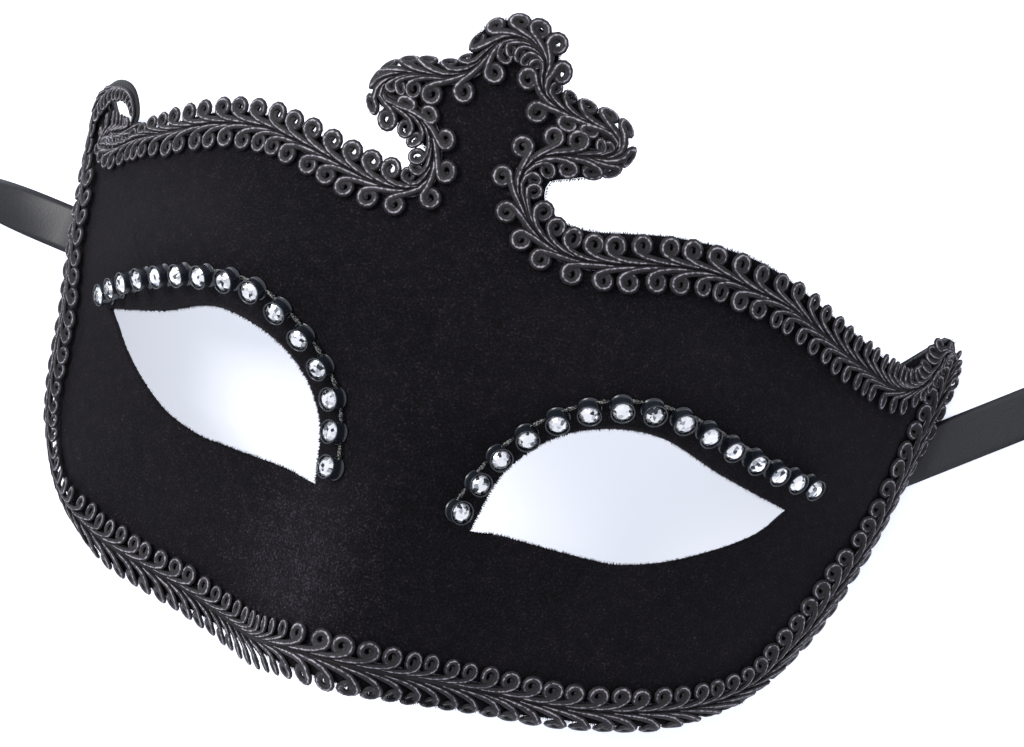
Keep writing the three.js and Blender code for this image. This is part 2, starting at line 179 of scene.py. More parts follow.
def surface(name, grid, material, around=True, smooth=True):
    """A mesh piece from grids of points in millimetres, shaped copies x along
    x across x 3. Neighbours become quads, and around joins the last across to
    the first. Points that fall together are merged, so poles are closed. The
    attribute along runs from 0 to 1, and around is 0 at the middle column of
    points and 1 at the first."""
    copies, along, across, _ = grid.shape
    points = grid.reshape(-1, 3) * MM + np.array([0, EYE_LINE_Y * MM, 0])
    index = np.arange(copies * along * across).reshape(copies, along, across)
    ahead = np.roll(index, -1, axis=2) if around else index[:, :, 1:]
    here = index if around else index[:, :, :-1]
    quads = np.stack([here[:, :-1], ahead[:, :-1], ahead[:, 1:], here[:, 1:]], axis=-1)
    mesh = bpy.data.meshes.new(name)
    mesh.from_pydata(points, [], quads.reshape(-1, 4))
    shift = np.abs(np.linspace(-1, 1, across, endpoint=not around))
    layers = {"along": np.linspace(0, 1, along)[None, :, None], "around": shift[None, None, :]}
    for label, values in layers.items():
        layer = mesh.attributes.new(label, "FLOAT", "POINT")
        layer.data.foreach_set("value", np.broadcast_to(values, index.shape).ravel().astype(np.float32))
    work = bmesh.new()
    work.from_mesh(mesh)
    bmesh.ops.remove_doubles(work, verts=work.verts, dist=SAME_POINT * MM)
    work.to_mesh(mesh)
    work.free()
    mesh.polygons.foreach_set("use_smooth", np.full(len(mesh.polygons), smooth))
    mesh.materials.append(material)
    piece = bpy.data.objects.new(name, mesh)
    bpy.context.collection.objects.link(piece)
    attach(piece, "root")
    return piece


def linear(code):
    """Linear RGBA from an sRGB hex code: (c + 0.055) / 1.055 to the power 2.4,
    or c / 12.92 near black."""
    parts = [int(code[k:k + 2], 16) / 255 for k in (1, 3, 5)]
    return tuple(c / 12.92 if c <= 0.04045 else ((c + 0.055) / 1.055) ** 2.4 for c in parts) + (1.0,)


def new_material(name):
    """A new node material with nothing in it, and its node tree."""
    made = bpy.data.materials.new(name)
    made.use_nodes = True
    made.node_tree.nodes.clear()
    return made, made.node_tree


def add_node(tree, kind, settings=None, **inputs):
    """Adds a node, sets its properties, and fills or links its sockets. A
    socket's name is written with _ for a space, or as in_ and its number. The
    setting stops is a ramp's (place, hex colour) pairs in order."""
    made = tree.nodes.new(kind)
    settings = dict(settings or {})
    stops = settings.pop("stops", [])
    for key, value in settings.items():
        setattr(made, key, value)
    if stops:
        made.color_ramp.elements[0].position = stops[0][0]
        made.color_ramp.elements[1].position = stops[-1][0]
    for place, _ in stops[1:-1]:
        made.color_ramp.elements.new(place)
    for number, (_, code) in enumerate(stops):
        made.color_ramp.elements[number].color = linear(code)
    for key, value in inputs.items():
        by_number = key.startswith("in_")
        socket = made.inputs[int(key[3:]) if by_number else key.replace("_", " ")]
        if isinstance(value, bpy.types.NodeSocket):
            tree.links.new(value, socket)
        else:
            socket.default_value = value
    return made


# Satin: a warp-faced polyester weave, smooth and dark, whose floats along its
# length give a soft streak of light. The yarns are too fine to show, so the
# weave is drawn as a faint grain 0.5 mm across.
WEAVE_GRAIN = 0.5
satin, tree = new_material("polyester_satin_ribbon")
place = add_node(tree, "ShaderNodeTexCoord").outputs["Object"]
weave = add_node(tree, "ShaderNodeTexNoise", Vector=place, Scale=1 / (WEAVE_GRAIN * MM), Detail=2.0)
lift = add_node(tree, "ShaderNodeBump", Strength=0.25, Distance=0.1 * MM, Height=weave.outputs["Fac"])
tone = add_node(
    tree, "ShaderNodeValToRGB", {"stops": [(0.3, "#101014"), (0.7, "#1c1c22")]}, Fac=weave.outputs["Fac"],
)
shader = add_node(
    tree, "ShaderNodeBsdfPrincipled", Base_Color=tone.outputs["Color"], Roughness=0.42,
    Normal=lift.outputs["Normal"], Sheen_Weight=0.15, Sheen_Roughness=0.4,
)
add_node(tree, "ShaderNodeOutputMaterial", Surface=shader.outputs["BSDF"])


def ribbon_line(under, heading, run, turn, twist):
    """The ribbon's middle line and its roll at each point. It comes down the
    inside of the wall, passes under the edge, runs straight on the table,
    swings aside in a cubic curve, and winds inwards in turns a pitch apart.
    It rolls onto its edge smoothly between the two lengths of the twist."""
    angle = math.radians(heading)
    under = np.array(under)
    along = np.array([math.cos(angle), math.sin(angle)])
    beside = np.array([-math.sin(angle), math.cos(angle)]) * turn
    inside = under + np.linspace(-GLUED_LENGTH, 0, WALL_POINTS)[:, None] * along
    x, y = inside.T
    wall = face_height(x, y) - (SHELL_WALL + BEHIND_WALL) / face_normal(x, y)[:, 2] - BELOW_WALL
    rise = 0.5 * (wall + np.sqrt(wall**2 + UNDER_EDGE_ROUNDING))
    flat = under + np.linspace(FLAT_START, run - SWING_LENGTH, FLAT_POINTS)[:, None] * along
    centre = under + run * along + COIL_ASIDE * beside
    turns = np.linspace(COIL_ENTRY, COIL_ENTRY + 2 * math.pi * COIL_TURNS, COIL_POINTS)[:, None]
    radius = COIL_RADIUS - COIL_PITCH * (turns - COIL_ENTRY) / (2 * math.pi)
    winding = centre + radius * (np.sin(turns) * along - np.cos(turns) * beside)
    share = np.linspace(0, 1, SWING_POINTS)[1:-1, None]
    reach = np.linalg.norm(winding[0] - flat[-1])
    into = math.cos(COIL_ENTRY) * along + math.sin(COIL_ENTRY) * beside
    swing = (
        (1 + 2 * share) * (1 - share) ** 2 * flat[-1] + share * (1 - share) ** 2 * reach * along
        + share**2 * (3 - 2 * share) * winding[0] - share**2 * (1 - share) * reach * into
    )
    lying = np.concatenate([flat, swing, winding])
    lying = np.column_stack([lying, np.full(len(lying), LYING_HEIGHT)])
    line, gone = even_line(np.concatenate([np.column_stack([inside, rise]), lying]), ROUTE_STEP)
    line = line[gone <= RIBBON_LENGTH]
    gone = gone[gone <= RIBBON_LENGTH]
    past = gone - gone[np.argmin(np.linalg.norm(line[:, :2] - under, axis=1))]
    share = np.clip((past - twist[0]) / (twist[1] - twist[0]), 0, 1)
    roll = math.pi / 2 * share**2 * (3 - 2 * share)
    line[:, 2] += np.sin(roll) * (RIBBON_WIDTH - RIBBON_THICK) / 2
    return line, roll * turn


for side, route in RIBBONS.items():
    line, roll = ribbon_line(**route)
    roll = roll[:, None]
    forward = unit(np.gradient(line, axis=0))
    level = unit(np.cross([0, 0, 1], forward))
    width_way = np.cos(roll) * level + np.sin(roll) * np.cross(forward, level)
    thick_way = np.cross(forward, width_way)
    # The ribbon's section: flat, and thinner close to both edges.
    spread = np.linspace(-1, 1, SECTION_POINTS)
    face = np.stack([spread * RIBBON_WIDTH, RIBBON_THICK * (1 - EDGE_THINNING * spread**8)], axis=1) / 2
    section = np.concatenate([face, -face])
    grid = line[:, None] + width_way[:, None] * section[:, :1] + thick_way[:, None] * section[:, 1:]
    tips = [line[None, k].repeat(len(section), axis=0)[None] for k in (0, -1)]
    grid = np.concatenate([tips[0], grid, tips[1]])
    ribbon = surface(f"satin_ribbon_{side}", grid[None, :, ::-1], satin)
    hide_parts(f"ribbon_{side}", f"ribbon_coil_{side}")

# Velvet shell. A stiff moulded sheet 1.5 mm thick with short-pile velvet glued
# over its front, cut to an outline with a crown and two wing tips, and with
# two eye holes. It stands on its side edges, which are cut level.

# Its sizes, the rays and rows of its grids, and the tufts of pile at its edges,
# in lengths, angles and half widths between which each tuft's are drawn.
SHELL_INSET = 1.3
RIM_WALL = 0.55
SKIVED_WIDTH = 3.0
WALL_LEVELS = 8
EYE_CENTRE = np.array([50.0, -4.0])
CROWN_JOIN_Y = 45.6
RAYS_ROUND_EYE = 230
RAYS_TO_CROWN = 15
RAYS_TO_MIDDLE = 66
ROWS_ROUND_EYE = 48
CROWN_ROWS = 64
NEAREST_EDGE = 10.0
FARTHEST_EDGE = 90.0
HALVINGS = 40
TINY = 1e-6
JOINED_POINT = 0.002
TUFT_LEAST_HEIGHT = 6.0
TUFT_SUNK = 0.12
TUFT_LENGTHS = (0.3, 0.8)
TUFT_RISES = (-0.3, 0.6)
TUFT_WIDTHS = (0.09, 0.16)
TUFT_SIDE_LEAN = 0.16
PROBE_STEP = 0.1
RIM_TUFTS_PER_MM = 7
EDGE_TUFTS_PER_MM = 3.5
# The braid's outer line on the right half, in smooth stretches from the crown
# round the lobe and the wing tip to the chin. The shell ends a little inside.
OUTER_EDGE = [
    [[0, 77], [4, 76.3], [8, 73.5], [9.3, 70], [9.4, 66.8]],
    [[9.4, 66.8], [17.5, 65.2], [24, 61.5], [25.6, 56.6], [20.3, 51.9], [13, 48.6]],
    [[13, 48.6], [13.4, 46.6], [15.4, 44.5]],
    [[15.4, 44.5], [22, 44.5], [38, 48.5], [54, 49.5], [70, 45.2], [84.8, 40.9]],
    [
        [84.8, 40.9], [85.9, 42.2], [88.1, 44.6], [90.7, 47.5],
        [92.8, 50], [94.6, 51.2], [97, 50.3], [98.4, 46.8],
    ],
    [[98.4, 46.8], [98.8, 33], [93.8, 9], [85.8, -17.4], [75, -35.5]],
    [[75, -35.5], [57.5, -44.6], [35, -48.6], [16, -51.2], [0, -51.2]],
]
# The left half's own stretches, in the same places and drawn as if mirrored.
LEFT_EDGE = OUTER_EDGE[:3] + [
    [[15.4, 44.5], [22, 45], [38, 49.4], [54, 50.2], [70, 46], [84.8, 40.9]],
    [[84.8, 40.9], [87.2, 45], [88.9, 49.3], [92.2, 51.8], [95.4, 51], [98.4, 46.8]],
    [[98.4, 46.8], [98.8, 33], [94, 9], [88.8, -17.2], [85, -27], [76.4, -36.3]],
    [[76.4, -36.3], [58.5, -45.1], [35, -48.6], [16, -51.2], [0, -51.2]],
]
WING_TIP_RAYS = np.radians([50.4, 51.0, 51.4, 51.7, 51.9, 52.05, 52.2, 52.35])
EYE_UPPER = [[15.1, -17], [18.6, -3.4], [28, 6.4], [43, 10.7], [58, 7.6]]
EYE_CORNER = {"right": [71.8, 5.4], "left": [73.3, 5.8]}
EYE_LOWER = {
    "right": [[66.2, -2], [54.5, -10], [45, -14.1], [38.4, -15.2], [26, -15.6], [20, -15.8], [15.1, -17]],
    "left": [[65.5, -2.9], [54.5, -10.6], [44.4, -13.9], [36, -14.6], [22, -15.4], [15.1, -17]],
}


def smooth_line(points, per_span=12, power=0.0):
    """Catmull-Rom curve through the points: on each span a cubic whose slopes
    are those of the neighbours. Power 0 takes even knots, 0.5 centripetal."""
    points = np.asarray(points, float)
    padded = np.concatenate([2 * points[:1] - points[1:2], points, 2 * points[-1:] - points[-2:-1]])
    gaps = np.maximum(np.linalg.norm(np.diff(padded, axis=0), axis=1), TINY) ** power
    share = np.linspace(0, 1, per_span, endpoint=False)[None, :, None]
    p0, p1, p2, p3 = (padded[k:len(padded) - 3 + k, None] for k in range(4))
    g0, g1, g2 = (gaps[k:len(gaps) - 2 + k, None, None] for k in range(3))
    m1 = g1 * ((p1 - p0) / g0 - (p2 - p0) / (g0 + g1) + (p2 - p1) / g1)
    m2 = g1 * ((p2 - p1) / g1 - (p3 - p1) / (g1 + g2) + (p3 - p2) / g2)
    curve = (
        (2 * share**3 - 3 * share**2 + 1) * p1 + (share**3 - 2 * share**2 + share) * m1
        + (-2 * share**3 + 3 * share**2) * p2 + (share**3 - share**2) * m2
    )
    return np.concatenate([curve.reshape(-1, points.shape[1]), points[-1:]])


def shell_outline(edge):
    """The shell's edge on one half, from crown to chin: the smooth stretches
    of the border, each point moved inwards square to the line."""
    line = np.concatenate([smooth_line(stretch)[:-1] for stretch in edge] + [edge[-1][-1:]])
    along = unit(np.gradient(line, axis=0))
    line = line + SHELL_INSET * np.stack([along[:, 1], -along[:, 0]], axis=1)
    line[[0, -1], 0] = 0
    return line


def radius_at(angles, loop, centre):
    """Distance from the centre to a loop that it sees all of, at each angle."""
    seen = loop - centre
    turns = np.unwrap(np.arctan2(seen[:, 1], seen[:, 0]))
    lengths = np.linalg.norm(seen, axis=1)
    order = np.argsort(turns)
    turns = turns[order]
    lengths = lengths[order]
    base = turns[0] + (angles - turns[0]) % (2 * math.pi)
    return np.interp(base, np.append(turns, turns[0] + 2 * math.pi), np.append(lengths, lengths[0]))


def table_radius(angles):
    """Distance from the middle of the eye hole at which the front comes down
    to the table, at each angle, by halving."""
    low = np.full(angles.shape, NEAREST_EDGE)
    high = np.full(angles.shape, FARTHEST_EDGE)
    for _ in range(HALVINGS):
        middle = (low + high) / 2
        x = EYE_CENTRE[0] + middle * np.cos(angles)
        y = EYE_CENTRE[1] + middle * np.sin(angles)
        below = face_height(x, y) < 0
        high = np.where(below, middle, high)
        low = np.where(below, low, middle)
    return low


def angle_of(x, y):
    """Direction of a point seen from the middle of the eye hole."""
    return math.atan2(y - EYE_CENTRE[1], x - EYE_CENTRE[0])


def eye_rim(side):
    """The rim of one eye hole: one smooth curve over it and one below it."""
    over = smooth_line(EYE_UPPER + [EYE_CORNER[side]])
    below = smooth_line([EYE_CORNER[side]] + EYE_LOWER[side])
    return np.concatenate([over[:-1], below[:-1]])


# Rays from the middle of the eye hole: round to the edge, then to the crown's
# foot, then down the mask's middle line.
shell_line = shell_outline(OUTER_EDGE)
left_line = shell_outline(LEFT_EDGE)
join = np.argmax(shell_line[:, 1] < CROWN_JOIN_Y)
join_x, join_y = shell_line[join]
top_angle = angle_of(0, CROWN_JOIN_Y)
join_angle = angle_of(join_x, join_y)
bottom_angle = angle_of(0, shell_line[-1, 1]) % (2 * math.pi)
round_edge = np.linspace(bottom_angle - 2 * math.pi, join_angle, RAYS_ROUND_EYE)
round_edge = np.sort(np.concatenate([round_edge, WING_TIP_RAYS]))
over_join = np.linspace(join_angle, top_angle, RAYS_TO_CROWN)
down_middle = np.linspace(top_angle, bottom_angle, RAYS_TO_MIDDLE)
angles = np.concatenate([round_edge[:-1], over_join[:-1], down_middle])


def half_plan(edge_line, side):
    """Plan places of one half's grid: rays from the middle of the eye hole,
    each from the hole's rim to the edge, the table or the middle line."""
    to_edge = np.minimum(radius_at(round_edge[:-1], edge_line, EYE_CENTRE), table_radius(round_edge[:-1]))
    to_crown = (CROWN_JOIN_Y - EYE_CENTRE[1]) / np.sin(over_join[:-1])
    to_middle = -EYE_CENTRE[0] / np.cos(down_middle)
    outer = np.concatenate([to_edge, to_crown, to_middle])[:, None]
    outer[0] = outer[-1]
    share = np.linspace(0, 1, ROWS_ROUND_EYE)[None, :]
    reach = radius_at(angles, eye_rim(side), EYE_CENTRE)[:, None] * (1 - share) + outer * share
    x = EYE_CENTRE[0] + reach * np.cos(angles)[:, None]
    y = EYE_CENTRE[1] + reach * np.sin(angles)[:, None]
    return np.where(np.abs(x) < TINY, 0, x), y


def crown_plan():
    """Plan places of the crown's grid: level rows from its foot to its top,
    each as wide as the outline there, on the columns that its foot has."""
    outline = shell_line[join::-1]
    rows = np.linspace(CROWN_JOIN_Y, OUTER_EDGE[0][0][1], CROWN_ROWS)
    half_width = np.interp(rows, outline[:, 1], outline[:, 0])
    half_width[0] = join_x
    half_width[-1] = 0
    columns = (EYE_CENTRE[0] + (CROWN_JOIN_Y - EYE_CENTRE[1]) / np.tan(over_join)) / join_x
    columns[-1] = 0
    x = half_width[:, None] * np.concatenate([-columns[:-1], columns[::-1]])
    return x, np.broadcast_to(rows[:, None], x.shape)


# Velvet: short dense pile that swallows light. Only its tips show a faint violet grey, and a painted sheen
# makes them lighter in a soft patch between the left eye and the chin, where the lamp grazes the pile.
# Single hairs are too fine to show, so the pile's grain is drawn 0.42 mm wide.
PILE_GRAIN = 0.42
PILE_CLOUDS = 2.4
WORN_PATCHES = 24
# Where the painted sheen on the pile is brightest, and the distances over which it fades out.
PAINTED_SHEEN_PLACE = (-15, -46, 54)
PAINTED_SHEEN_FROM = 2
PAINTED_SHEEN_TO = 30
velvet, tree = new_material("short_pile_velvet")
place = add_node(tree, "ShaderNodeTexCoord").outputs["Object"]
pile = add_node(tree, "ShaderNodeTexNoise", Vector=place, Scale=1 / (PILE_GRAIN * MM), Detail=2.0)
cloud = add_node(tree, "ShaderNodeTexNoise", Vector=place, Scale=1 / (PILE_CLOUDS * MM), Detail=4.0)
worn = add_node(tree, "ShaderNodeTexNoise", Vector=place, Scale=1 / (WORN_PATCHES * MM), Detail=3.0)
near = add_node(
    tree, "ShaderNodeVectorMath", {"operation": "DISTANCE"},
    in_0=place, in_1=tuple(part * MM for part in PAINTED_SHEEN_PLACE),
)
# Painted sheen: the pile's tone is lifted in a soft round patch, standing in for lamp light grazing the
# pile.
painted_sheen = add_node(
    tree, "ShaderNodeMapRange", {"interpolation_type": "SMOOTHSTEP"}, Value=near.outputs["Value"],
    From_Min=PAINTED_SHEEN_FROM * MM, From_Max=PAINTED_SHEEN_TO * MM, To_Min=0.13, To_Max=0.0,
)
tips = add_node(
    tree, "ShaderNodeMath", {"operation": "MULTIPLY_ADD"},
    in_0=cloud.outputs["Fac"], in_1=0.35, in_2=pile.outputs["Fac"],
)
lit = add_node(
    tree, "ShaderNodeMath", {"operation": "ADD"}, in_0=tips.outputs[0], in_1=painted_sheen.outputs["Result"],
)
pile_tone = add_node(
    tree, "ShaderNodeValToRGB", Fac=lit.outputs[0],
    settings={"stops": [(0.52, "#020202"), (0.68, "#0b090c"), (0.82, "#17141a"), (1.0, "#37323a")]},
)
worn_tone = add_node(
    tree, "ShaderNodeValToRGB", {"stops": [(0.4, "#060507"), (0.7, "#131015")]}, Fac=worn.outputs["Fac"],
)
tone = add_node(
    tree, "ShaderNodeMix", {"data_type": "RGBA", "blend_type": "MIX"},
    Factor=0.3, in_6=pile_tone.outputs["Color"], in_7=worn_tone.outputs["Color"],
)
lift = add_node(tree, "ShaderNodeBump", Strength=0.4, Distance=0.2 * MM, Height=pile.outputs["Fac"])
shader = add_node(
    tree, "ShaderNodeBsdfPrincipled", Base_Color=tone.outputs[2], Roughness=0.95,
    Specular_IOR_Level=0.12, Normal=lift.outputs["Normal"],
    Sheen_Weight=0.06, Sheen_Roughness=0.5, Sheen_Tint=linear("#8f8894"),
)
add_node(tree, "ShaderNodeOutputMaterial", Surface=shader.outputs["BSDF"])

# Backing: black pressed fibre behind the velvet, matt and faintly mottled.
FIBRE_CLUMPS = 0.8
backing, tree = new_material("black_pressed_fibre")
place = add_node(tree, "ShaderNodeTexCoord").outputs["Object"]
fibre = add_node(tree, "ShaderNodeTexNoise", Vector=place, Scale=1 / (FIBRE_CLUMPS * MM), Detail=3.0)
tone = add_node(
    tree, "ShaderNodeValToRGB", {"stops": [(0.35, "#0b0b0d"), (0.7, "#1a1a1d")]}, Fac=fibre.outputs["Fac"],
)
shader = add_node(tree, "ShaderNodeBsdfPrincipled", Base_Color=tone.outputs["Color"], Roughness=0.8)
add_node(tree, "ShaderNodeOutputMaterial", Surface=shader.outputs["BSDF"])

# Cut edge: the same fibre where a blade went through it, smooth and dark, with paler stretches along it at
# random.
PALE_STRETCHES = 3
cut_edge, tree = new_material("cut_edge_of_pressed_fibre")
place = add_node(tree, "ShaderNodeTexCoord").outputs["Object"]
pale_stretches = add_node(tree, "ShaderNodeTexNoise", Vector=place, Scale=1 / (PALE_STRETCHES * MM), Detail=2.0)
tone = add_node(
    tree, "ShaderNodeValToRGB", {"stops": [(0.66, "#090b12"), (0.74, "#5c6068")]}, Fac=pale_stretches.outputs["Fac"],
)
shader = add_node(
    tree, "ShaderNodeBsdfPrincipled", Base_Color=tone.outputs["Color"], Roughness=0.45,
    Specular_IOR_Level=0.2,
)
add_node(tree, "ShaderNodeOutputMaterial", Surface=shader.outputs["BSDF"])


def on_front(x, y):
    """Grid of points on the front at plan places x and y."""
    return np.stack([x, y, face_height(x, y)], axis=-1)


def join_pieces(first, second):
    """Adds the second mesh to the first and merges the points they share."""
    work = bmesh.new()
    work.from_mesh(first.data)
    work.from_mesh(second.data)
    bmesh.ops.remove_doubles(work, verts=work.verts, dist=JOINED_POINT * MM)
    bmesh.ops.recalc_face_normals(work, faces=work.faces)
    work.to_mesh(first.data)
    work.free()
    bpy.data.objects.remove(second)


def mesh_points(piece):
    """The piece's points in metres, one to a row."""
    points = np.empty(len(piece.data.vertices) * 3, np.float32)
    piece.data.vertices.foreach_get("co", points)
    return points.reshape(-1, 3)


right_x, right_y = half_plan(shell_line[join:], "right")
left_x, left_y = half_plan(left_line[join:], "left")
halves = np.stack([on_front(right_x, right_y), on_front(-left_x, left_y)[:, ::-1]])
shell = surface("velvet_shell", halves, velvet, around=False)
crown = surface("velvet_crown", on_front(*crown_plan())[None], velvet, around=False)
join_pieces(shell, crown)
if shell.data.polygons[0].normal.z < 0:
    shell.data.flip_normals()
shell.data.materials.append(backing)
shell.data.materials.append(cut_edge)

# The wall behind the front, thinned in even steps towards the eye rims.
rim_points = np.concatenate([eye_rim("right"), eye_rim("left") * [-1, 1]])
places = mesh_points(shell)[:, :2] / MM - [0, EYE_LINE_Y]
from_rim = np.sqrt(((places[:, None] - rim_points[None]) ** 2).sum(axis=2).min(axis=1))
wall_level = np.round(np.clip(from_rim / SKIVED_WIDTH, 0, 1) * WALL_LEVELS).astype(int)
skived = shell.vertex_groups.new(name="wall")
for level in range(WALL_LEVELS + 1):
    skived.add(np.flatnonzero(wall_level == level).tolist(), level / WALL_LEVELS, "REPLACE")
thicken = shell.modifiers.new("wall", "SOLIDIFY")
thicken.vertex_group = skived.name
thicken.thickness_vertex_group = RIM_WALL / SHELL_WALL
thicken.thickness = SHELL_WALL * MM
thicken.offset = -1
thicken.material_offset = 1
thicken.material_offset_rim = 2
solid = bpy.data.meshes.new_from_object(shell.evaluated_get(bpy.context.evaluated_depsgraph_get()))
shell.modifiers.clear()
shell.data = solid
shell.vertex_groups.clear()


def pile_tufts(edge, outward, per_mm, seed):
    """Pointed tufts of pile that stand out past a cut edge: three-sided
    spikes with their feet in the cloth, leaning outwards and up by chance.
    Near the table, where they would lie in it, there are none."""
    rng = np.random.default_rng(seed)
    line, _ = even_line(edge, 1 / per_mm)
    along = unit(np.gradient(line, axis=0))
    free = face_height(*line.T) > TUFT_LEAST_HEIGHT
    line = line[free]
    along = along[free]
    out = outward * np.stack([along[:, 1], -along[:, 0]], axis=1)
    count = (len(line), 1)
    sunk = np.full(len(line), -TUFT_SUNK)
    foot = above_face(*line.T, sunk)
    up = face_normal(*line.T)
    onward = unit(above_face(*(line + PROBE_STEP * along).T, sunk) - foot)
    away = unit(above_face(*(line + PROBE_STEP * out).T, sunk) - foot)
    length = rng.uniform(*TUFT_LENGTHS, count)
    rise = rng.uniform(*TUFT_RISES, count)
    tip = foot + length * (away * np.cos(rise) + up * np.sin(rise))
    tip = tip + onward * rng.normal(0, TUFT_SIDE_LEAN, count)
    wide = rng.uniform(*TUFT_WIDTHS, count)
    ring = np.stack([foot + onward * wide, foot - onward * wide, foot + up * wide], axis=1)
    return np.stack([foot[:, None].repeat(3, axis=1), ring, tip[:, None].repeat(3, axis=1)], axis=1)


flip = np.array([-1, 1, 1])
tufts = np.concatenate([
    pile_tufts(eye_rim("right"), 1, RIM_TUFTS_PER_MM, 1),
    pile_tufts(shell_line, -1, EDGE_TUFTS_PER_MM, 2),
    flip * pile_tufts(eye_rim("left"), 1, RIM_TUFTS_PER_MM, 3)[:, :, ::-1],
    flip * pile_tufts(left_line, -1, EDGE_TUFTS_PER_MM, 4)[:, :, ::-1],
])
join_pieces(shell, surface("velvet_tufts", tufts, velvet, smooth=False))
points = mesh_points(shell)
points[:, 2] = np.maximum(points[:, 2], 0)
shell.data.vertices.foreach_set("co", points.ravel())
shell.data.update()
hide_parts("mask_shell")

# Gimp braid. A flat trimming of wrapped cord in two rows of looped leaves on a
# dark ground, glued round the whole border by hand. The outer row is bent over
# the edge, and the braid is pushed together at the chin and the wing tips.
BRAID_HALF_WIDTH = 5.5
SPINE_STEP = 0.5
LEAST_BEND = -0.2
MOST_BEND = 0.3
TIP_CROWDING = 3.6
HOLLOW_CROWDING = 0.3
ROOM_KEPT = 0.95
LATERAL = np.linspace(-6.5, 6.5, 53)
LEAST_SHARE = 0.3
MOST_OUTER_SHARE = 1.15
MOST_INNER_SHARE = 1.1
GROUND_PROFILE = [(1.5, 0.45), (0.8, 0.75), (-0.8, 0.75), (-1.5, 0.45), (-0.8, 0.2), (0.8, 0.2)]
# How the braid bends over the edge, by lateral length and by roll in radians,
# and the lateral length at which each row, lifted off the front, is down again.
OUTER_BEND_START = 1.4
INNER_BEND_START = 0.4
BEND_SPAN = 1.0
BEND_SLACK = 0.8
FULL_SLACK_ROLL = 0.8
NO_SLACK_ROLL = 2.2
LEAST_ROLL = 1e-3
SETTLED_AT = {-1: 5.0, 1: 12.0}
# The cord, as half sizes, and its size from the root to the curled end.
CORD_HALF_WIDTH = 0.86
CORD_HALF_HEIGHT = 0.5
CORD_SIDES = 6
CORD_TAPER = [(0, 0.4), (0.1, 0.75), (0.3, 1), (0.92, 1), (1, 0.8)]
THREAD_HIGHLIGHT_TURN = math.radians(17)
STOUT_SPACING = 4.3
LEAST_STOUT = 0.7
# A leaf's loop, by angles round its centre, with the curl inside it.
LOOP_POINTS = 12
CURL_POINTS = 4
LOOP_START, LOOP_END, CURL_END = np.radians([-52, 285, 430])
LOOP_SIZES = [(LOOP_START, 1), (3.6, 1), (LOOP_END, 0.74), (CURL_END, 0.1)]
LOOP_RADIUS = 1.3
LOOP_CENTRE = 3.1
LOOP_TALL = 1.12
LEAST_TALL = 0.35
LOOP_OVERLAP = 0.3
FULL_SPACING = 3.9
NARROWEST = 0.5
WIDEST = 1.12
LOOP_HEIGHT = 0.95
LOOP_TILT = 0.34
WIDE_TILT_LOSS = 0.2
CURL_SINK = [(LOOP_END - 1.4, 0), (CURL_END, 0.3)]
# A leaf's stem: its length in pitches, its root, its first bend and its run
# into the loop, and its height from the root on.
STEM_POINTS = 5
STEM_PITCHES = 1.8
SHORTEST_STEM_PITCH = 2.6
LONGEST_STEM_PITCH = 5
STEM_ROOT = 0.35
STEM_BEND = 0.6
STEM_BEND_BACK = 0.6
JOIN_REACH = 2.4
JOIN_FULL_PITCH = 4
JOIN_LEAST = 0.6
JOIN_BLEND = 0.95
STEM_HEIGHTS = [(0, 0.5), (0.4, 1.05), (0.8, 1.15), (1, 1.0)]
# How leaves differ by chance: places in pitches, sizes as shares, the rest in
# millimetres. The two rows stand half a pitch apart.
CHANCE = {"place": 0.05, "width": 0.05, "tallness": 0.06, "centre": 0.1, "loop": 0.04, "stem": 0.03}
ROW_OFFSET = 0.25
# The braid's middle on the face, from the chin to the crown on each half. The
# left half is drawn as if mirrored.
RIGHT_SPINE = [
    [0, -46.2], [14, -45.4], [28, -44.6], [38, -44], [47, -42.6], [56, -40.3],
    [64, -37.3], [70.5, -33.4], [75.4, -28.5], [79.1, -22.3], [81.7, -16.3], [83.9, -9.9],
    [86.8, -1], [89.4, 8], [93.2, 30], [94.4, 38], [95.4, 45], [95, 47.6],
    [93.9, 47], [92.8, 43.4], [91, 38.9], [88, 36.5], [84, 35.8], [79, 36.8],
    [74.2, 37.9], [67, 40.3], [60.5, 42.3], [53, 42.9], [45, 43.3], [36, 41.3],
    [28, 38.7], [21, 37.3], [16, 38], [11.6, 40.4], [8.6, 44], [6.8, 47.6],
    [7.4, 50.8], [10, 53.6], [16.4, 55.7], [20.5, 56.8], [22.2, 58.7], [21.6, 60.4],
    [19.2, 61.2], [15.3, 61.5], [10.3, 62.6], [7.3, 64.3], [6.2, 66.6], [5.8, 69.3],
    [4, 71.4], [1.1, 72.5],
]
LEFT_SPINE = [
    [6, -46.5], [12, -47.1], [19, -47.7], [27, -46.1], [38, -43.6], [49, -41.8],
    [62.6, -39], [76.4, -32], [83, -22], [85.4, -12], [86.9, 8], [90.7, 30], [93.6, 39], [94.9, 45],
    [94.5, 48.2], [92.8, 50.6], [90, 52], [86.6, 52.1], [83.4, 50.9], [81.1, 48.4],
    [80, 45.4], [81.2, 43.3], [84.7, 42.2], [88.1, 41.3], [89.4, 39.9], [87, 39], [83.8, 39.2],
    [80.9, 40.1], [77.8, 41.3], [70.3, 42.7], [64.5, 44.2], [58, 45.8], [51, 46.6],
    [44, 46.7], [36.8, 45.2], [28.9, 43.2], [20.3, 41], [15.3, 40.7], [11.4, 42],
    [9.8, 44.8], [9.9, 48.3], [11.5, 52.2], [14.7, 54.6], [19.4, 55.7], [22.6, 56.7],
    [22.7, 58.8], [20.7, 61], [16, 62.2], [10.9, 62.9], [6.8, 65.4], [4.5, 69.5],
    [2.5, 71.8],
]
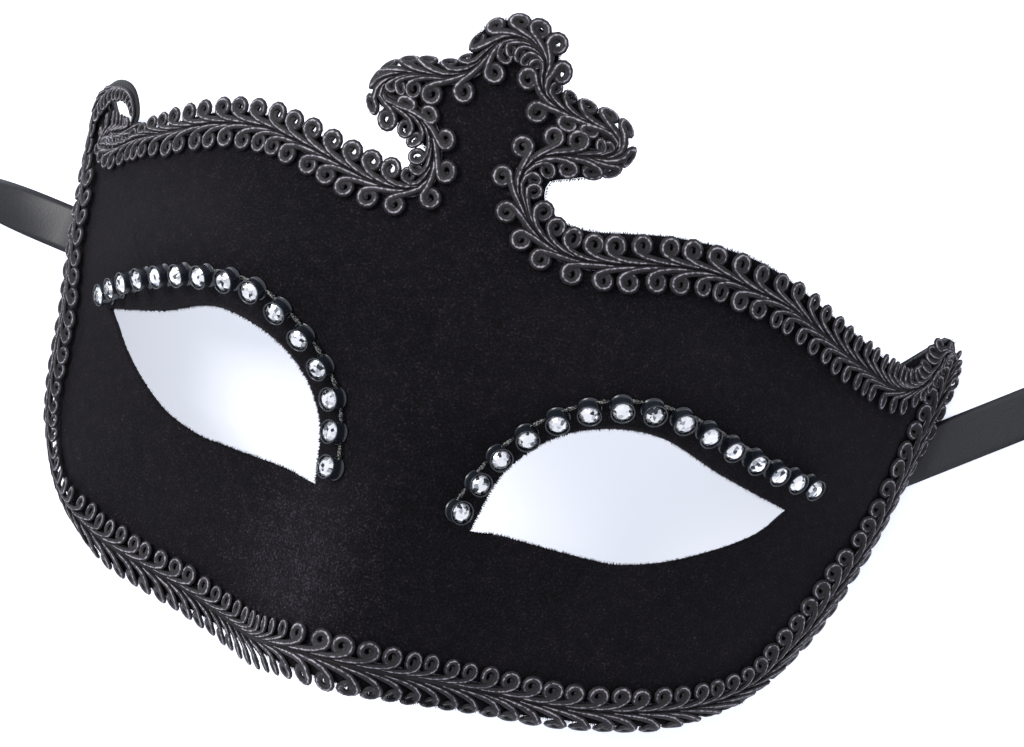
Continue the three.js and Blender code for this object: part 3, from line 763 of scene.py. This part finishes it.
# Values along the braid, by length from the chin, on halves scaled to
# HALF_LENGTH: the leaves' pitch, each row's roll over the edge in degrees, the
# share of its half-width that each row has, and the lift off the front.
HALF_LENGTH = 313
LEAF_PITCH = {
    "right": [
        (0, 4.6), (12, 3.3), (22, 3.3), (30, 4.0), (42, 4.7), (62, 4.3), (80, 4.0), (95, 4.3),
        (148, 4.3), (158, 2.7), (168, 1.9), (183, 1.9), (192, 2.8), (204, 3.6), (216, 4.4),
        (230, 4.9), (250, 4.8), (280, 4.6), (300, 4.3), (313, 4.5),
    ],
    "left": [
        (0, 4.6), (8, 4.3), (13, 2.2), (16, 2.2), (26, 2.8), (34, 3.7), (85, 3.7), (110, 4.2),
        (145, 4.2), (160, 2.8), (170, 2.4), (176, 1.6), (186, 1.6), (193, 2.4), (204, 3.4),
        (215, 4.3), (250, 4.7), (275, 4.5), (300, 4.6), (313, 4.5),
    ],
}
OUTER_ROLL = {
    "right": [
        (0, 45), (20, 52), (45, 60), (72, 52), (92, 14), (134, 4), (144, -14), (155, -14), (159, 0),
        (163, 24), (168, 14), (176, 4), (200, 8), (222, 4), (235, 0), (268, 0), (276, 16),
        (281, 34), (285, 48), (297, 48), (301, 30), (304, 8), (313, 12),
    ],
    "left": [
        (0, 35), (30, 38), (50, 34), (76, 24), (90, -12), (140, -16), (148, 0), (153, 40), (158, 70),
        (172, 70), (180, 10), (190, 8), (215, 4), (280, 4), (284, 40),
        (287, 52), (299, 52), (304, 45), (308, 34), (313, 20),
    ],
}
INNER_ROLL = {
    "right": [(0, 0), (80, 0), (95, 12), (150, 12), (158, 0), (313, 0)],
    "left": [(0, 0), (313, 0)],
}
OUTER_SHARE = {
    "right": [
        (0, 1), (84, 1), (95, 0.74), (134, 0.74), (144, 0.95), (156, 1.1), (160, 0.9),
        (160.2, 0.2), (161.1, 0.2), (161.3, 0.8), (164, 0.8), (168, 1), (178, 1.05),
        (218, 1), (230, 1.12), (246, 1.1), (256, 1), (266, 0.85), (274, 0.7), (282, 0.6),
        (286, 0.56), (297, 0.6), (302, 0.75), (307, 1.0), (313, 0.8),
    ],
    "left": [
        (0, 1), (44, 1), (58, 0.82), (78, 0.7), (146, 0.68), (152, 0.68), (157, 0.5), (159, 0.2),
        (173, 0.2), (176, 1.6), (180, 2.4), (188, 2.4), (193, 1.2), (198, 0.82), (206, 0.88),
        (215, 1), (280, 1), (284, 0.55), (289, 0.5), (300, 0.52), (307, 0.66), (313, 0.74),
    ],
}
INNER_SHARE = {
    "right": [
        (0, 1), (90, 1), (100, 0.86), (145, 0.9), (149, 1.8), (153, 3.4), (163, 3.4),
        (168, 2), (172, 1.4), (178, 1.05), (228, 1), (236, 1.08), (246, 1), (266, 1),
        (270, 1.5), (281, 1.7), (285, 1), (288, 0.6), (295, 0.8), (299, 1), (313, 1),
    ],
    "left": [
        (0, 1), (146, 1), (156, 1.1), (162, 0.66), (174, 0.55), (178, 1.0), (182, 1.4), (188, 1), (262, 1),
        (268, 0.8), (280, 0.6), (285, 1), (289, 1.7), (298, 1.5), (303, 1), (313, 1),
    ],
}
BRAID_LIFT = {
    "right": [(0, 0), (88, 0), (100, 1), (152, 1.2), (160, 0), (313, 0)],
    "left": [(0, 0), (40, 0), (56, 0.9), (80, 1.2), (100, 0.9), (140, 0.7), (150, 0), (313, 0)],
}


def from_table(places, table):
    """Values at the places, straight between the table's (place, value) rows."""
    rows = np.array(table, float)
    return np.interp(places, rows[:, 0], rows[:, 1])


def along_braid(tables):
    """A value at every point of the braid's middle, from a right and a left
    table of (length from the chin, value), each half scaled to its length."""
    right = from_table(spine_gone / crown_at * HALF_LENGTH, tables["right"])
    left_gone = (spine_length - spine_gone) / (spine_length - crown_at) * HALF_LENGTH
    return np.where(spine_gone < crown_at, right, from_table(left_gone, tables["left"]))


def room_beside(points, side):
    """Room on one side of each point: the radius of the largest circle that
    touches the line there and holds no other part of it, less a little."""
    away = points[None] - points[:, None]
    reach = (away * side[:, None]).sum(axis=2)
    with np.errstate(divide="ignore", invalid="ignore"):
        room = np.where(reach > TINY, (away**2).sum(axis=2) / (2 * reach), np.inf)
    return room.min(axis=1) * ROOM_KEPT


def blur(values, reach):
    """Running mean of a closed row of values over 2 reach + 1 places."""
    return sum(np.roll(values, k) for k in range(-reach, reach + 1)) / (2 * reach + 1)


def free_share(outward):
    """Share of its full half-width that the braid has on one side."""
    room = np.minimum(BRAID_HALF_WIDTH, room_beside(spine, outward))
    return blur(np.minimum(room, blur(room, 3)), 2) / BRAID_HALF_WIDTH


def plan_table():
    """How far in plan each lateral length reaches on the sloping front, from
    the middle of the braid outwards, by adding up small steps."""
    table = np.zeros((len(spine), len(LATERAL)))
    middle = len(LATERAL) // 2
    step = LATERAL[1] - LATERAL[0]
    for sign in (-1, 1):
        gone = np.zeros(len(spine))
        for k in range(1, middle + 1):
            place = spine + spine_outward * (sign * gone)[:, None]
            ahead = place + spine_outward * (sign * PROBE_STEP)
            slope = (face_height(*ahead.T) - face_height(*place.T)) / PROBE_STEP
            gone = gone + step / np.hypot(1, slope)
            table[:, middle + sign * k] = sign * gone
    return table


# The braid's middle at small even steps, how it turns there, and what the
# tables give at each of its points.
closed = np.concatenate([RIGHT_SPINE, np.array(LEFT_SPINE)[::-1] * [-1, 1], RIGHT_SPINE[:1]])
spine, spine_gone = even_line(smooth_line(closed, 12, 0.5), SPINE_STEP)
spine_length = spine_gone[-1]
spine = spine[:-1]
spine_gone = spine_gone[:-1]
crown_at = spine_gone[np.argmax(spine[:, 1])]
spine_along = unit(np.roll(spine, -1, axis=0) - np.roll(spine, 1, axis=0))
spine_outward = np.stack([spine_along[:, 1], -spine_along[:, 0]], axis=1)
spine_bend = np.cross(spine_along, np.roll(spine_along, -1, axis=0)) / SPINE_STEP
spine_bend = np.clip(blur(blur(spine_bend, 4), 4), LEAST_BEND, MOST_BEND)
crowding = TIP_CROWDING * np.maximum(spine_bend, 0) + HOLLOW_CROWDING * np.maximum(-spine_bend, 0)
leaf_pitch = along_braid(LEAF_PITCH) / (1 + crowding)
braid_lift = along_braid(BRAID_LIFT)
reach_table = plan_table()


def at_length(values, length):
    """Values of the braid's middle at any length, between its points."""
    place = (length % spine_length) / spine_length * len(spine)
    first = place.astype(int) % len(spine)
    share = place - np.floor(place)
    if values.ndim > 1:
        share = share[..., None]
    return values[first] * (1 - share) + values[(first + 1) % len(spine)] * share


def braid_plan(length, lateral):
    """Plan place of a length along the braid and a lateral length outwards."""
    place = np.round((length % spine_length) / spine_length * len(spine)).astype(int) % len(spine)
    column = (np.clip(lateral, LATERAL[0], LATERAL[-1]) - LATERAL[0]) / (LATERAL[1] - LATERAL[0])
    left = np.clip(column.astype(int), 0, len(LATERAL) - 2)
    share = column - left
    plan = reach_table[place, left] * (1 - share) + reach_table[place, left + 1] * share
    return at_length(spine, length) + unit(at_length(spine_outward, length)) * plan[..., None]


def over_edge(lateral, height, roll, start):
    """Bends the braid over the edge, or up where the roll is negative: flat up
    to the bend's start, an arc of the roll's angle, then straight, and moved
    out by what the bend takes up. Gives the new lateral length and height."""
    roll = np.where(np.abs(roll) < LEAST_ROLL, LEAST_ROLL, roll)
    past = np.maximum(lateral - start, 0)
    bent = np.minimum(past / BEND_SPAN, 1) * roll
    radius = BEND_SPAN / roll
    straight = np.maximum(past - BEND_SPAN, 0)
    out = np.minimum(lateral, start) + radius * np.sin(bent) + straight * np.cos(roll)
    down = radius * (1 - np.cos(bent)) + straight * np.sin(roll)
    slack = BEND_SLACK * np.clip(roll / FULL_SLACK_ROLL, 0, 1) * np.clip(NO_SLACK_ROLL - roll, 0, 1)
    slack = slack * np.clip(lateral / start, 0, 1)
    return out + slack + height * np.sin(bent), height * np.cos(bent) - down


def settling(lateral, side):
    """Share of the lift that is left at a lateral length, falling evenly."""
    return np.clip(1 - lateral / SETTLED_AT[side], 0, 1)


def loop_shape(wide, tall, centre):
    """Each leaf's loop, laid flat: the length ahead of its centre, the lateral
    length and the height at angles round an ellipse. The last part winds
    inside it and sinks, and the whole is tilted so that loops overlap."""
    angle = np.concatenate([
        np.linspace(LOOP_START, LOOP_END, LOOP_POINTS),
        np.linspace(LOOP_END, CURL_END, CURL_POINTS + 1)[1:],
    ])
    radius = LOOP_RADIUS * from_table(angle, LOOP_SIZES)
    ahead = radius * np.cos(angle) * wide
    lateral = centre + radius * np.sin(angle) * tall
    height = LOOP_HEIGHT + (LOOP_TILT - WIDE_TILT_LOSS * wide) * ahead / LOOP_RADIUS / wide
    return ahead, lateral, height - from_table(angle, CURL_SINK)


def stem_shape(ahead, lateral, pitch, part):
    """Each leaf's stem, laid flat: a cubic curve from its root near the
    braid's middle, behind the loop, into the loop's first point. Gives the
    length ahead and the lateral length at each part of the curve."""
    end = np.stack([ahead, lateral])
    toward = np.array([-math.sin(LOOP_START), math.cos(LOOP_START)])[:, None, None]
    length = STEM_PITCHES * np.clip(pitch, SHORTEST_STEM_PITCH, LONGEST_STEM_PITCH)[None]
    root = np.concatenate([-length, np.full_like(length, STEM_ROOT)])
    bend = np.concatenate([-STEM_BEND_BACK * length, np.full_like(length, STEM_BEND)])
    before = end - JOIN_REACH * toward * np.clip(pitch / JOIN_FULL_PITCH, JOIN_LEAST, 1)[None]
    return (
        (1 - part) ** 3 * root + 3 * part * (1 - part) ** 2 * bend
        + 3 * part**2 * (1 - part) * before + part**3 * end
    )


def leaf_row(side, share, roll, start, seed):
    """Middle lines of one row's leaves, the way up at each of their points,
    and how stout each leaf is. The stems are carried along the braid's own
    line, the loops stay stiff round their centres, and each stem is shifted
    more and more towards its end, to meet its loop."""
    rng = np.random.default_rng(seed)
    counted = np.cumsum(SPINE_STEP / leaf_pitch)
    count = int(counted[-1])
    number = np.arange(count) + 0.5 + ROW_OFFSET * side
    middle_at = np.interp(number, counted / counted[-1] * count, spine_gone)[:, None]
    middle_at = middle_at[at_length(share, middle_at)[:, 0] > LEAST_SHARE]
    each = middle_at.shape
    pitch = at_length(leaf_pitch, middle_at)
    spacing = pitch * (1 + side * at_length(spine_bend, middle_at) * LOOP_CENTRE)
    stout = np.clip(spacing / STOUT_SPACING, LEAST_STOUT, 1)
    middle_at = middle_at + rng.normal(0, CHANCE["place"], each) * pitch
    tilt = at_length(np.radians(roll), middle_at)
    free = at_length(share, middle_at)
    lifted = at_length(braid_lift, middle_at)

    wide = np.clip((spacing + LOOP_OVERLAP) / FULL_SPACING, NARROWEST, WIDEST)
    wide = wide * rng.normal(1, CHANCE["width"], each)
    tall = rng.normal(LOOP_TALL, CHANCE["tallness"], each) * (LEAST_TALL + (1 - LEAST_TALL) * free)
    centre = LOOP_CENTRE + rng.normal(0, CHANCE["centre"], each)
    ahead, lateral, height = loop_shape(wide, tall, centre)
    height = height + rng.normal(0, CHANCE["loop"], each) + lifted * settling(lateral, side)
    part = np.linspace(0, 1, STEM_POINTS, endpoint=False)
    stem_ahead, stem_lateral = stem_shape(ahead[:, :1], lateral[:, :1], pitch, part)
    stem_height = from_table(part, STEM_HEIGHTS) + rng.normal(0, CHANCE["stem"], each)
    stem_height = stem_height + lifted * settling(stem_lateral, side)

    def carried(gone, out, rise):
        """Points of the leaves carried along the braid's own line."""
        out, rise = over_edge(out, rise, tilt, start)
        plan = braid_plan(middle_at + gone, side * out * at_length(share, middle_at + gone))
        return above_face(plan[..., 0], plan[..., 1], rise)

    reference = over_edge(centre, 0.0, tilt, start)[0]
    plan = braid_plan(middle_at, side * reference * free)
    base = above_face(plan[..., 0], plan[..., 1], 0.0)
    up = face_normal(plan[..., 0], plan[..., 1])
    forward = at_length(spine_along, middle_at)
    climb = -(forward * up[..., :2]).sum(axis=-1, keepdims=True) / up[..., 2:]
    forward = unit(np.concatenate([forward, climb], axis=-1))
    outward = np.cross(forward, up) * side
    out, rise = over_edge(lateral, height, tilt, start)
    loop = base + forward * ahead[..., None] + outward * (out - reference)[..., None] + up * rise[..., None]

    stem = carried(stem_ahead, stem_lateral, stem_height)
    gap = loop[:, :1] - carried(ahead[:, :1], lateral[:, :1], height[:, :1])
    blend = np.clip(part / JOIN_BLEND, 0, 1)[:, None] ** 2
    line = np.concatenate([stem + gap * blend, loop], axis=1)
    ups = [face_normal(stem[..., 0], stem[..., 1]), np.broadcast_to(up, loop.shape)]
    past = np.concatenate([stem_lateral, lateral], axis=1) - start
    bent = (np.clip(past / BEND_SPAN, 0, 1) * tilt)[..., None]
    return line, unit(np.concatenate(ups, axis=1) * np.cos(bent) + outward * np.sin(bent)), stout


# The leaves' cords: a flattened ring round each point of the middle lines, drawn to a point at the root.
# The curled end is left as an open tube. The rings of the two rows are turned opposite ways, and the paler
# thread and its painted highlight turn with them.
outer_share = np.minimum(free_share(spine_outward) * along_braid(OUTER_SHARE), MOST_OUTER_SHARE)
inner_share = np.minimum(free_share(-spine_outward) * along_braid(INNER_SHARE), MOST_INNER_SHARE)
outer_row = leaf_row(1, outer_share, along_braid(OUTER_ROLL), OUTER_BEND_START, 7)
inner_row = leaf_row(-1, inner_share, along_braid(INNER_ROLL), INNER_BEND_START, 8)
line, up, stout = (np.concatenate(pair) for pair in zip(outer_row, inner_row))
forward = unit(np.gradient(line, axis=1))
across = unit(np.cross(forward, up))
up = np.cross(across, forward)
hand = np.where(np.arange(len(line)) < len(outer_row[0]), -1, 1)[:, None]
turn = np.linspace(0, 2 * math.pi, CORD_SIDES, endpoint=False) + math.pi + hand * THREAD_HIGHLIGHT_TURN
turn = turn[:, None, :, None]
size = (from_table(np.linspace(0, 1, line.shape[1]), CORD_TAPER) * stout)[..., None, None]
leaves = (
    line[:, :, None] + across[:, :, None] * np.sin(turn) * CORD_HALF_WIDTH * size
    + up[:, :, None] * np.cos(turn) * CORD_HALF_HEIGHT * size
)
leaves = np.concatenate([line[:, :1, None].repeat(CORD_SIDES, axis=2), leaves], axis=1)

# Gimp cord: dull dark rayon wound round a core, with a paler thread along its top. The light line there is
# partly that thread and partly a painted highlight where the top of the cord faces the light. It is broken
# into short lengths and fades out over the sunk curled end. The winding shows as fine ridges. They come out
# 1.1 mm apart, twice as coarse as real, so that they show.
THREAD_HIGHLIGHT_BREAKS = 0.7
WINDING_PITCH = 0.5
WAVE_SPREAD = 6.3
gimp, tree = new_material("rayon_wrapped_gimp_cord")
place = add_node(tree, "ShaderNodeTexCoord").outputs["Object"]
from_top = add_node(tree, "ShaderNodeAttribute", {"attribute_name": "around"})
broken = add_node(tree, "ShaderNodeTexNoise", Vector=place, Scale=1 / (THREAD_HIGHLIGHT_BREAKS * MM), Detail=2.0)
toward_end = add_node(tree, "ShaderNodeAttribute", {"attribute_name": "along"})
# The painted highlight fades out over the curled end, which sinks inside its loop.
highlight_fade = add_node(
    tree, "ShaderNodeMapRange", Value=toward_end.outputs["Fac"],
    From_Min=0.62, From_Max=0.8, To_Min=0.0, To_Max=0.13,
)
thread_highlight = add_node(
    tree, "ShaderNodeMath", {"operation": "MULTIPLY_ADD"},
    in_0=broken.outputs["Fac"], in_1=0.3, in_2=from_top.outputs["Fac"],
)
thread_highlight = add_node(
    tree, "ShaderNodeMath", {"operation": "ADD"}, in_0=thread_highlight.outputs[0], in_1=highlight_fade.outputs["Result"],
)
winding = add_node(
    tree, "ShaderNodeTexWave", {"bands_direction": "DIAGONAL"}, Vector=place,
    Scale=1 / (WINDING_PITCH * MM) / WAVE_SPREAD, Distortion=2.0, Detail=1.0,
)
lift = add_node(tree, "ShaderNodeBump", Strength=0.35, Distance=0.12 * MM, Height=winding.outputs["Fac"])
# Painted highlight: pale grey on the ring's top side, falling to the cord's dark tone round its flanks and
# underside.
tone = add_node(
    tree, "ShaderNodeValToRGB", Fac=thread_highlight.outputs[0],
    settings={"stops": [(0.15, "#9c969c"), (0.2, "#4c484e"), (0.27, "#201e21"), (0.9, "#131214")]},
)
shader = add_node(
    tree, "ShaderNodeBsdfPrincipled", Base_Color=tone.outputs["Color"],
    Roughness=0.62, Specular_IOR_Level=0.28, Normal=lift.outputs["Normal"],
)
add_node(tree, "ShaderNodeOutputMaterial", Surface=shader.outputs["BSDF"])


def ground_side(lateral, height):
    """One corner of the ground's profile, carried round the whole braid."""
    x, y = braid_plan(spine_gone, np.full(len(spine), lateral)).T
    return above_face(x, y, braid_lift + height)


braid = surface("gimp_scroll_braid", leaves, gimp)
ground = np.stack([ground_side(*corner) for corner in GROUND_PROFILE], axis=1)
ground = np.concatenate([ground, ground[:1]])[None]
join_pieces(braid, surface("gimp_ground", ground, gimp))
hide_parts("gimp_braid")

# Cups and stones. Each row is a trimming of small black styrene cups, joined by
# clear cast links and glued over the eye. A foiled acrylic stone is pressed
# into each cup.
STONES_PER_ROW = 15
CUP_SIDES = 28
STONE_SIDES = 10
LINK_SIDES = 8
# Every second stone's middle, from the nose outwards; the others lie between.
STONE_ROWS = {
    "left": [
        [-11.7, -12.4], [-15.3, 0.4], [-24.4, 10.2], [-35.3, 15.7],
        [-46.5, 15.9], [-57.1, 14.3], [-66.8, 11.8], [-73.5, 8.6],
    ],
    "right": [
        [12, -13.3], [16.4, -1.3], [25.5, 8.8], [36.2, 14.2],
        [47.1, 15.3], [56.9, 13.6], [66.3, 12.1], [73.7, 11.7],
    ],
}
# Profiles of (radius, height over the front). The cup has a foot, flares to a
# rounded lip, and holds the stone on its floor.
CUP_PROFILE = [
    (0, 0.25), (2.26, 0.25), (2.34, 0.34), (2.26, 0.44), (2.1, 0.54), (2.2, 1.6), (2.32, 2.9),
    (2.31, 3.12), (2.24, 3.2), (2.12, 3.12), (2.08, 2.95), (2.02, 1.9), (0, 1.85),
]
STONE_PROFILE = [(0, 2.15), (1.85, 2.15), (1.93, 2.75), (1.15, 3.4), (0, 3.4)]
# The link's profile of (share of the way from cup to cup, radius), how far its
# line lies to the side away from the eye, and its height over the front.
LINK_PROFILE = [(0.2, 0), (0.3, 0.3), (0.5, 0.42), (0.7, 0.3), (0.8, 0)]
LINK_ASIDE = 1.2
LINK_HEIGHT = 1.0

# Cup: black moulded styrene, whose smooth walls give small sharp highlights.
plastic, tree = new_material("black_styrene_cup")
shader = add_node(tree, "ShaderNodeBsdfPrincipled", Base_Color=linear("#1b2026"), Roughness=0.25, IOR=1.6)
add_node(tree, "ShaderNodeOutputMaterial", Surface=shader.outputs["BSDF"])

# Link: clear cast plastic over dark cloth. Its uneven skin is all that shows,
# as glints between dark patches, so it is drawn opaque in those two tones.
LINK_LUMPS = 0.45
clear, tree = new_material("clear_cast_link")
place = add_node(tree, "ShaderNodeTexCoord").outputs["Object"]
flow = add_node(tree, "ShaderNodeTexNoise", Vector=place, Scale=1 / (LINK_LUMPS * MM), Detail=1.0)
lift = add_node(tree, "ShaderNodeBump", Strength=0.9, Distance=0.3 * MM, Height=flow.outputs["Fac"])
tone = add_node(
    tree, "ShaderNodeValToRGB", Fac=flow.outputs["Fac"],
    settings={"stops": [(0.5, "#131313"), (0.58, "#8c8c86"), (0.64, "#1a1a18")]},
)
shader = add_node(
    tree, "ShaderNodeBsdfPrincipled", Base_Color=tone.outputs["Color"],
    Roughness=0.12, IOR=1.5, Normal=lift.outputs["Normal"],
)
add_node(tree, "ShaderNodeOutputMaterial", Surface=shader.outputs["BSDF"])

# Stone: moulded acrylic with silver foil behind it. The eye sees the foil through the facets, as cells of
# bright and dull silver, so the outside is drawn as a metal with such cells. The silver is the foil's own,
# and the bright and dull cells are painted reflections.
FACET_CELLS = 0.75
foil, tree = new_material("foiled_acrylic_stone")
place = add_node(tree, "ShaderNodeTexCoord").outputs["Object"]
cell = add_node(tree, "ShaderNodeTexVoronoi", Vector=place, Scale=1 / (FACET_CELLS * MM))
# Painted reflections: cells from dark grey to white stand for facets that catch or miss the light.
silver_and_facet_glints = add_node(
    tree, "ShaderNodeValToRGB", Fac=cell.outputs["Color"],
    settings={"stops": [(0.22, "#3a3d42"), (0.34, "#b4b8be"), (0.5, "#f4f6f8"), (0.9, "#ffffff")]},
)
shader = add_node(
    tree, "ShaderNodeBsdfPrincipled", Base_Color=silver_and_facet_glints.outputs["Color"], Metallic=0.85, Roughness=0.2,
)
add_node(tree, "ShaderNodeOutputMaterial", Surface=shader.outputs["BSDF"])


def turned(profile, count):
    """A profile of (radius, height) points turned about the upright axis."""
    radius, height = np.array(profile, float).T[:, :, None]
    angle = np.linspace(0, 2 * math.pi, count, endpoint=False)
    level = np.broadcast_to(height, (len(profile), count))
    return np.stack([radius * np.cos(angle), radius * np.sin(angle), level], axis=-1)


def stand(points, x, y):
    """Moves shapes that stand on the origin to stand on the front at x, y."""
    up = face_normal(x, y)
    sideways = unit(np.cross(up, [0.0, 1.0, 0.0]))
    onward = np.cross(up, sideways)
    base = on_front(x, y)
    return (
        base[:, None, None] + points[..., :1] * sideways[:, None, None]
        + points[..., 1:2] * onward[:, None, None] + points[..., 2:] * up[:, None, None]
    )


def links_between(x, y, side):
    """Lumps that join neighbouring cups low down on the side away from the
    eye: a swelling profile turned about the line from cup to cup."""
    middle = np.stack([x[:-1] + x[1:], y[:-1] + y[1:]], axis=1) / 2
    eye = EYE_CENTRE * [1 if side == "right" else -1, 1]
    aside_x, aside_y = (unit(middle - eye) * LINK_ASIDE).T
    first = above_face(x[:-1] + aside_x, y[:-1] + aside_y, LINK_HEIGHT)
    last = above_face(x[1:] + aside_x, y[1:] + aside_y, LINK_HEIGHT)
    up = face_normal(*middle.T)
    across = unit(np.cross(last - first, up))
    share, radius = np.array(LINK_PROFILE).T[:, None, :, None, None]
    angle = np.linspace(0, 2 * math.pi, LINK_SIDES, endpoint=False)[:, None]
    ring = across[:, None, None] * np.cos(angle) + up[:, None, None] * np.sin(angle)
    return first[:, None, None] + (last - first)[:, None, None] * share + radius * ring


for side, row in STONE_ROWS.items():
    x, y = smooth_line(row, 2).T
    cups = surface(f"stone_cups_{side}", stand(turned(CUP_PROFILE, CUP_SIDES)[None], x, y), plastic)
    links = surface(f"cup_links_{side}", links_between(x, y, side), clear)
    links.data.polygons.foreach_set("material_index", np.ones(len(links.data.polygons), np.int32))
    cups.data.materials.append(clear)
    join_pieces(cups, links)
    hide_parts(f"stone_strip_{side}")
    stone_grid = stand(turned(STONE_PROFILE, STONE_SIDES)[None], x, y)
    stones = surface(f"stones_{side}", stone_grid, foil, smooth=False)
    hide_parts(*[f"stone_{side}_{k + 1:02d}" for k in range(STONES_PER_ROW)])

# Studio: a plain white floor just under the mask, a white surround and one
# large soft light from the upper left. Sizes here are in metres.
FLOOR_HALF = 2
FLOOR_LEVEL = -0.0002
SURROUND_STRENGTH = 0.9
LAMP_WIDTH = 0.45
LAMP_WATTS = 8
LAMP_DISTANCE = 1.0
LAMP_LEAN = math.radians(-35)
LAMP_NOD = math.radians(-8)

corners = [(-1, -1), (1, -1), (1, 1), (-1, 1)]
floor_mesh = bpy.data.meshes.new("floor")
floor_points = [(x * FLOOR_HALF, y * FLOOR_HALF, FLOOR_LEVEL) for x, y in corners]
floor_mesh.from_pydata(floor_points, [], [(0, 1, 2, 3)])
floor = bpy.data.objects.new("floor", floor_mesh)
bpy.context.collection.objects.link(floor)
# Paper: matt white, given a little light of its own so that it stays pale.
paper, tree = new_material("white_paper_sweep")
shader = add_node(
    tree, "ShaderNodeBsdfPrincipled", Base_Color=linear("#eef0f6"), Roughness=0.9, Specular_IOR_Level=0.1,
    Emission_Color=linear("#e9eefb"), Emission_Strength=0.62,
)
add_node(tree, "ShaderNodeOutputMaterial", Surface=shader.outputs["BSDF"])
floor_mesh.materials.append(paper)

world = bpy.data.worlds.new("surround")
world.use_nodes = True
surround = world.node_tree.nodes["Background"].inputs
surround["Color"].default_value = linear("#f4f6ff")
surround["Strength"].default_value = SURROUND_STRENGTH
bpy.context.scene.world = world
lamp_data = bpy.data.lights.new("softbox", "AREA")
lamp_data.size = LAMP_WIDTH
lamp_data.energy = LAMP_WATTS
lamp = bpy.data.objects.new("softbox", lamp_data)
bpy.context.collection.objects.link(lamp)
lamp.matrix_world = (
    Matrix.Rotation(LAMP_LEAN, 4, "Y")
    @ Matrix.Rotation(LAMP_NOD, 4, "X")
    @ Matrix.Translation((0, 0, LAMP_DISTANCE))
)
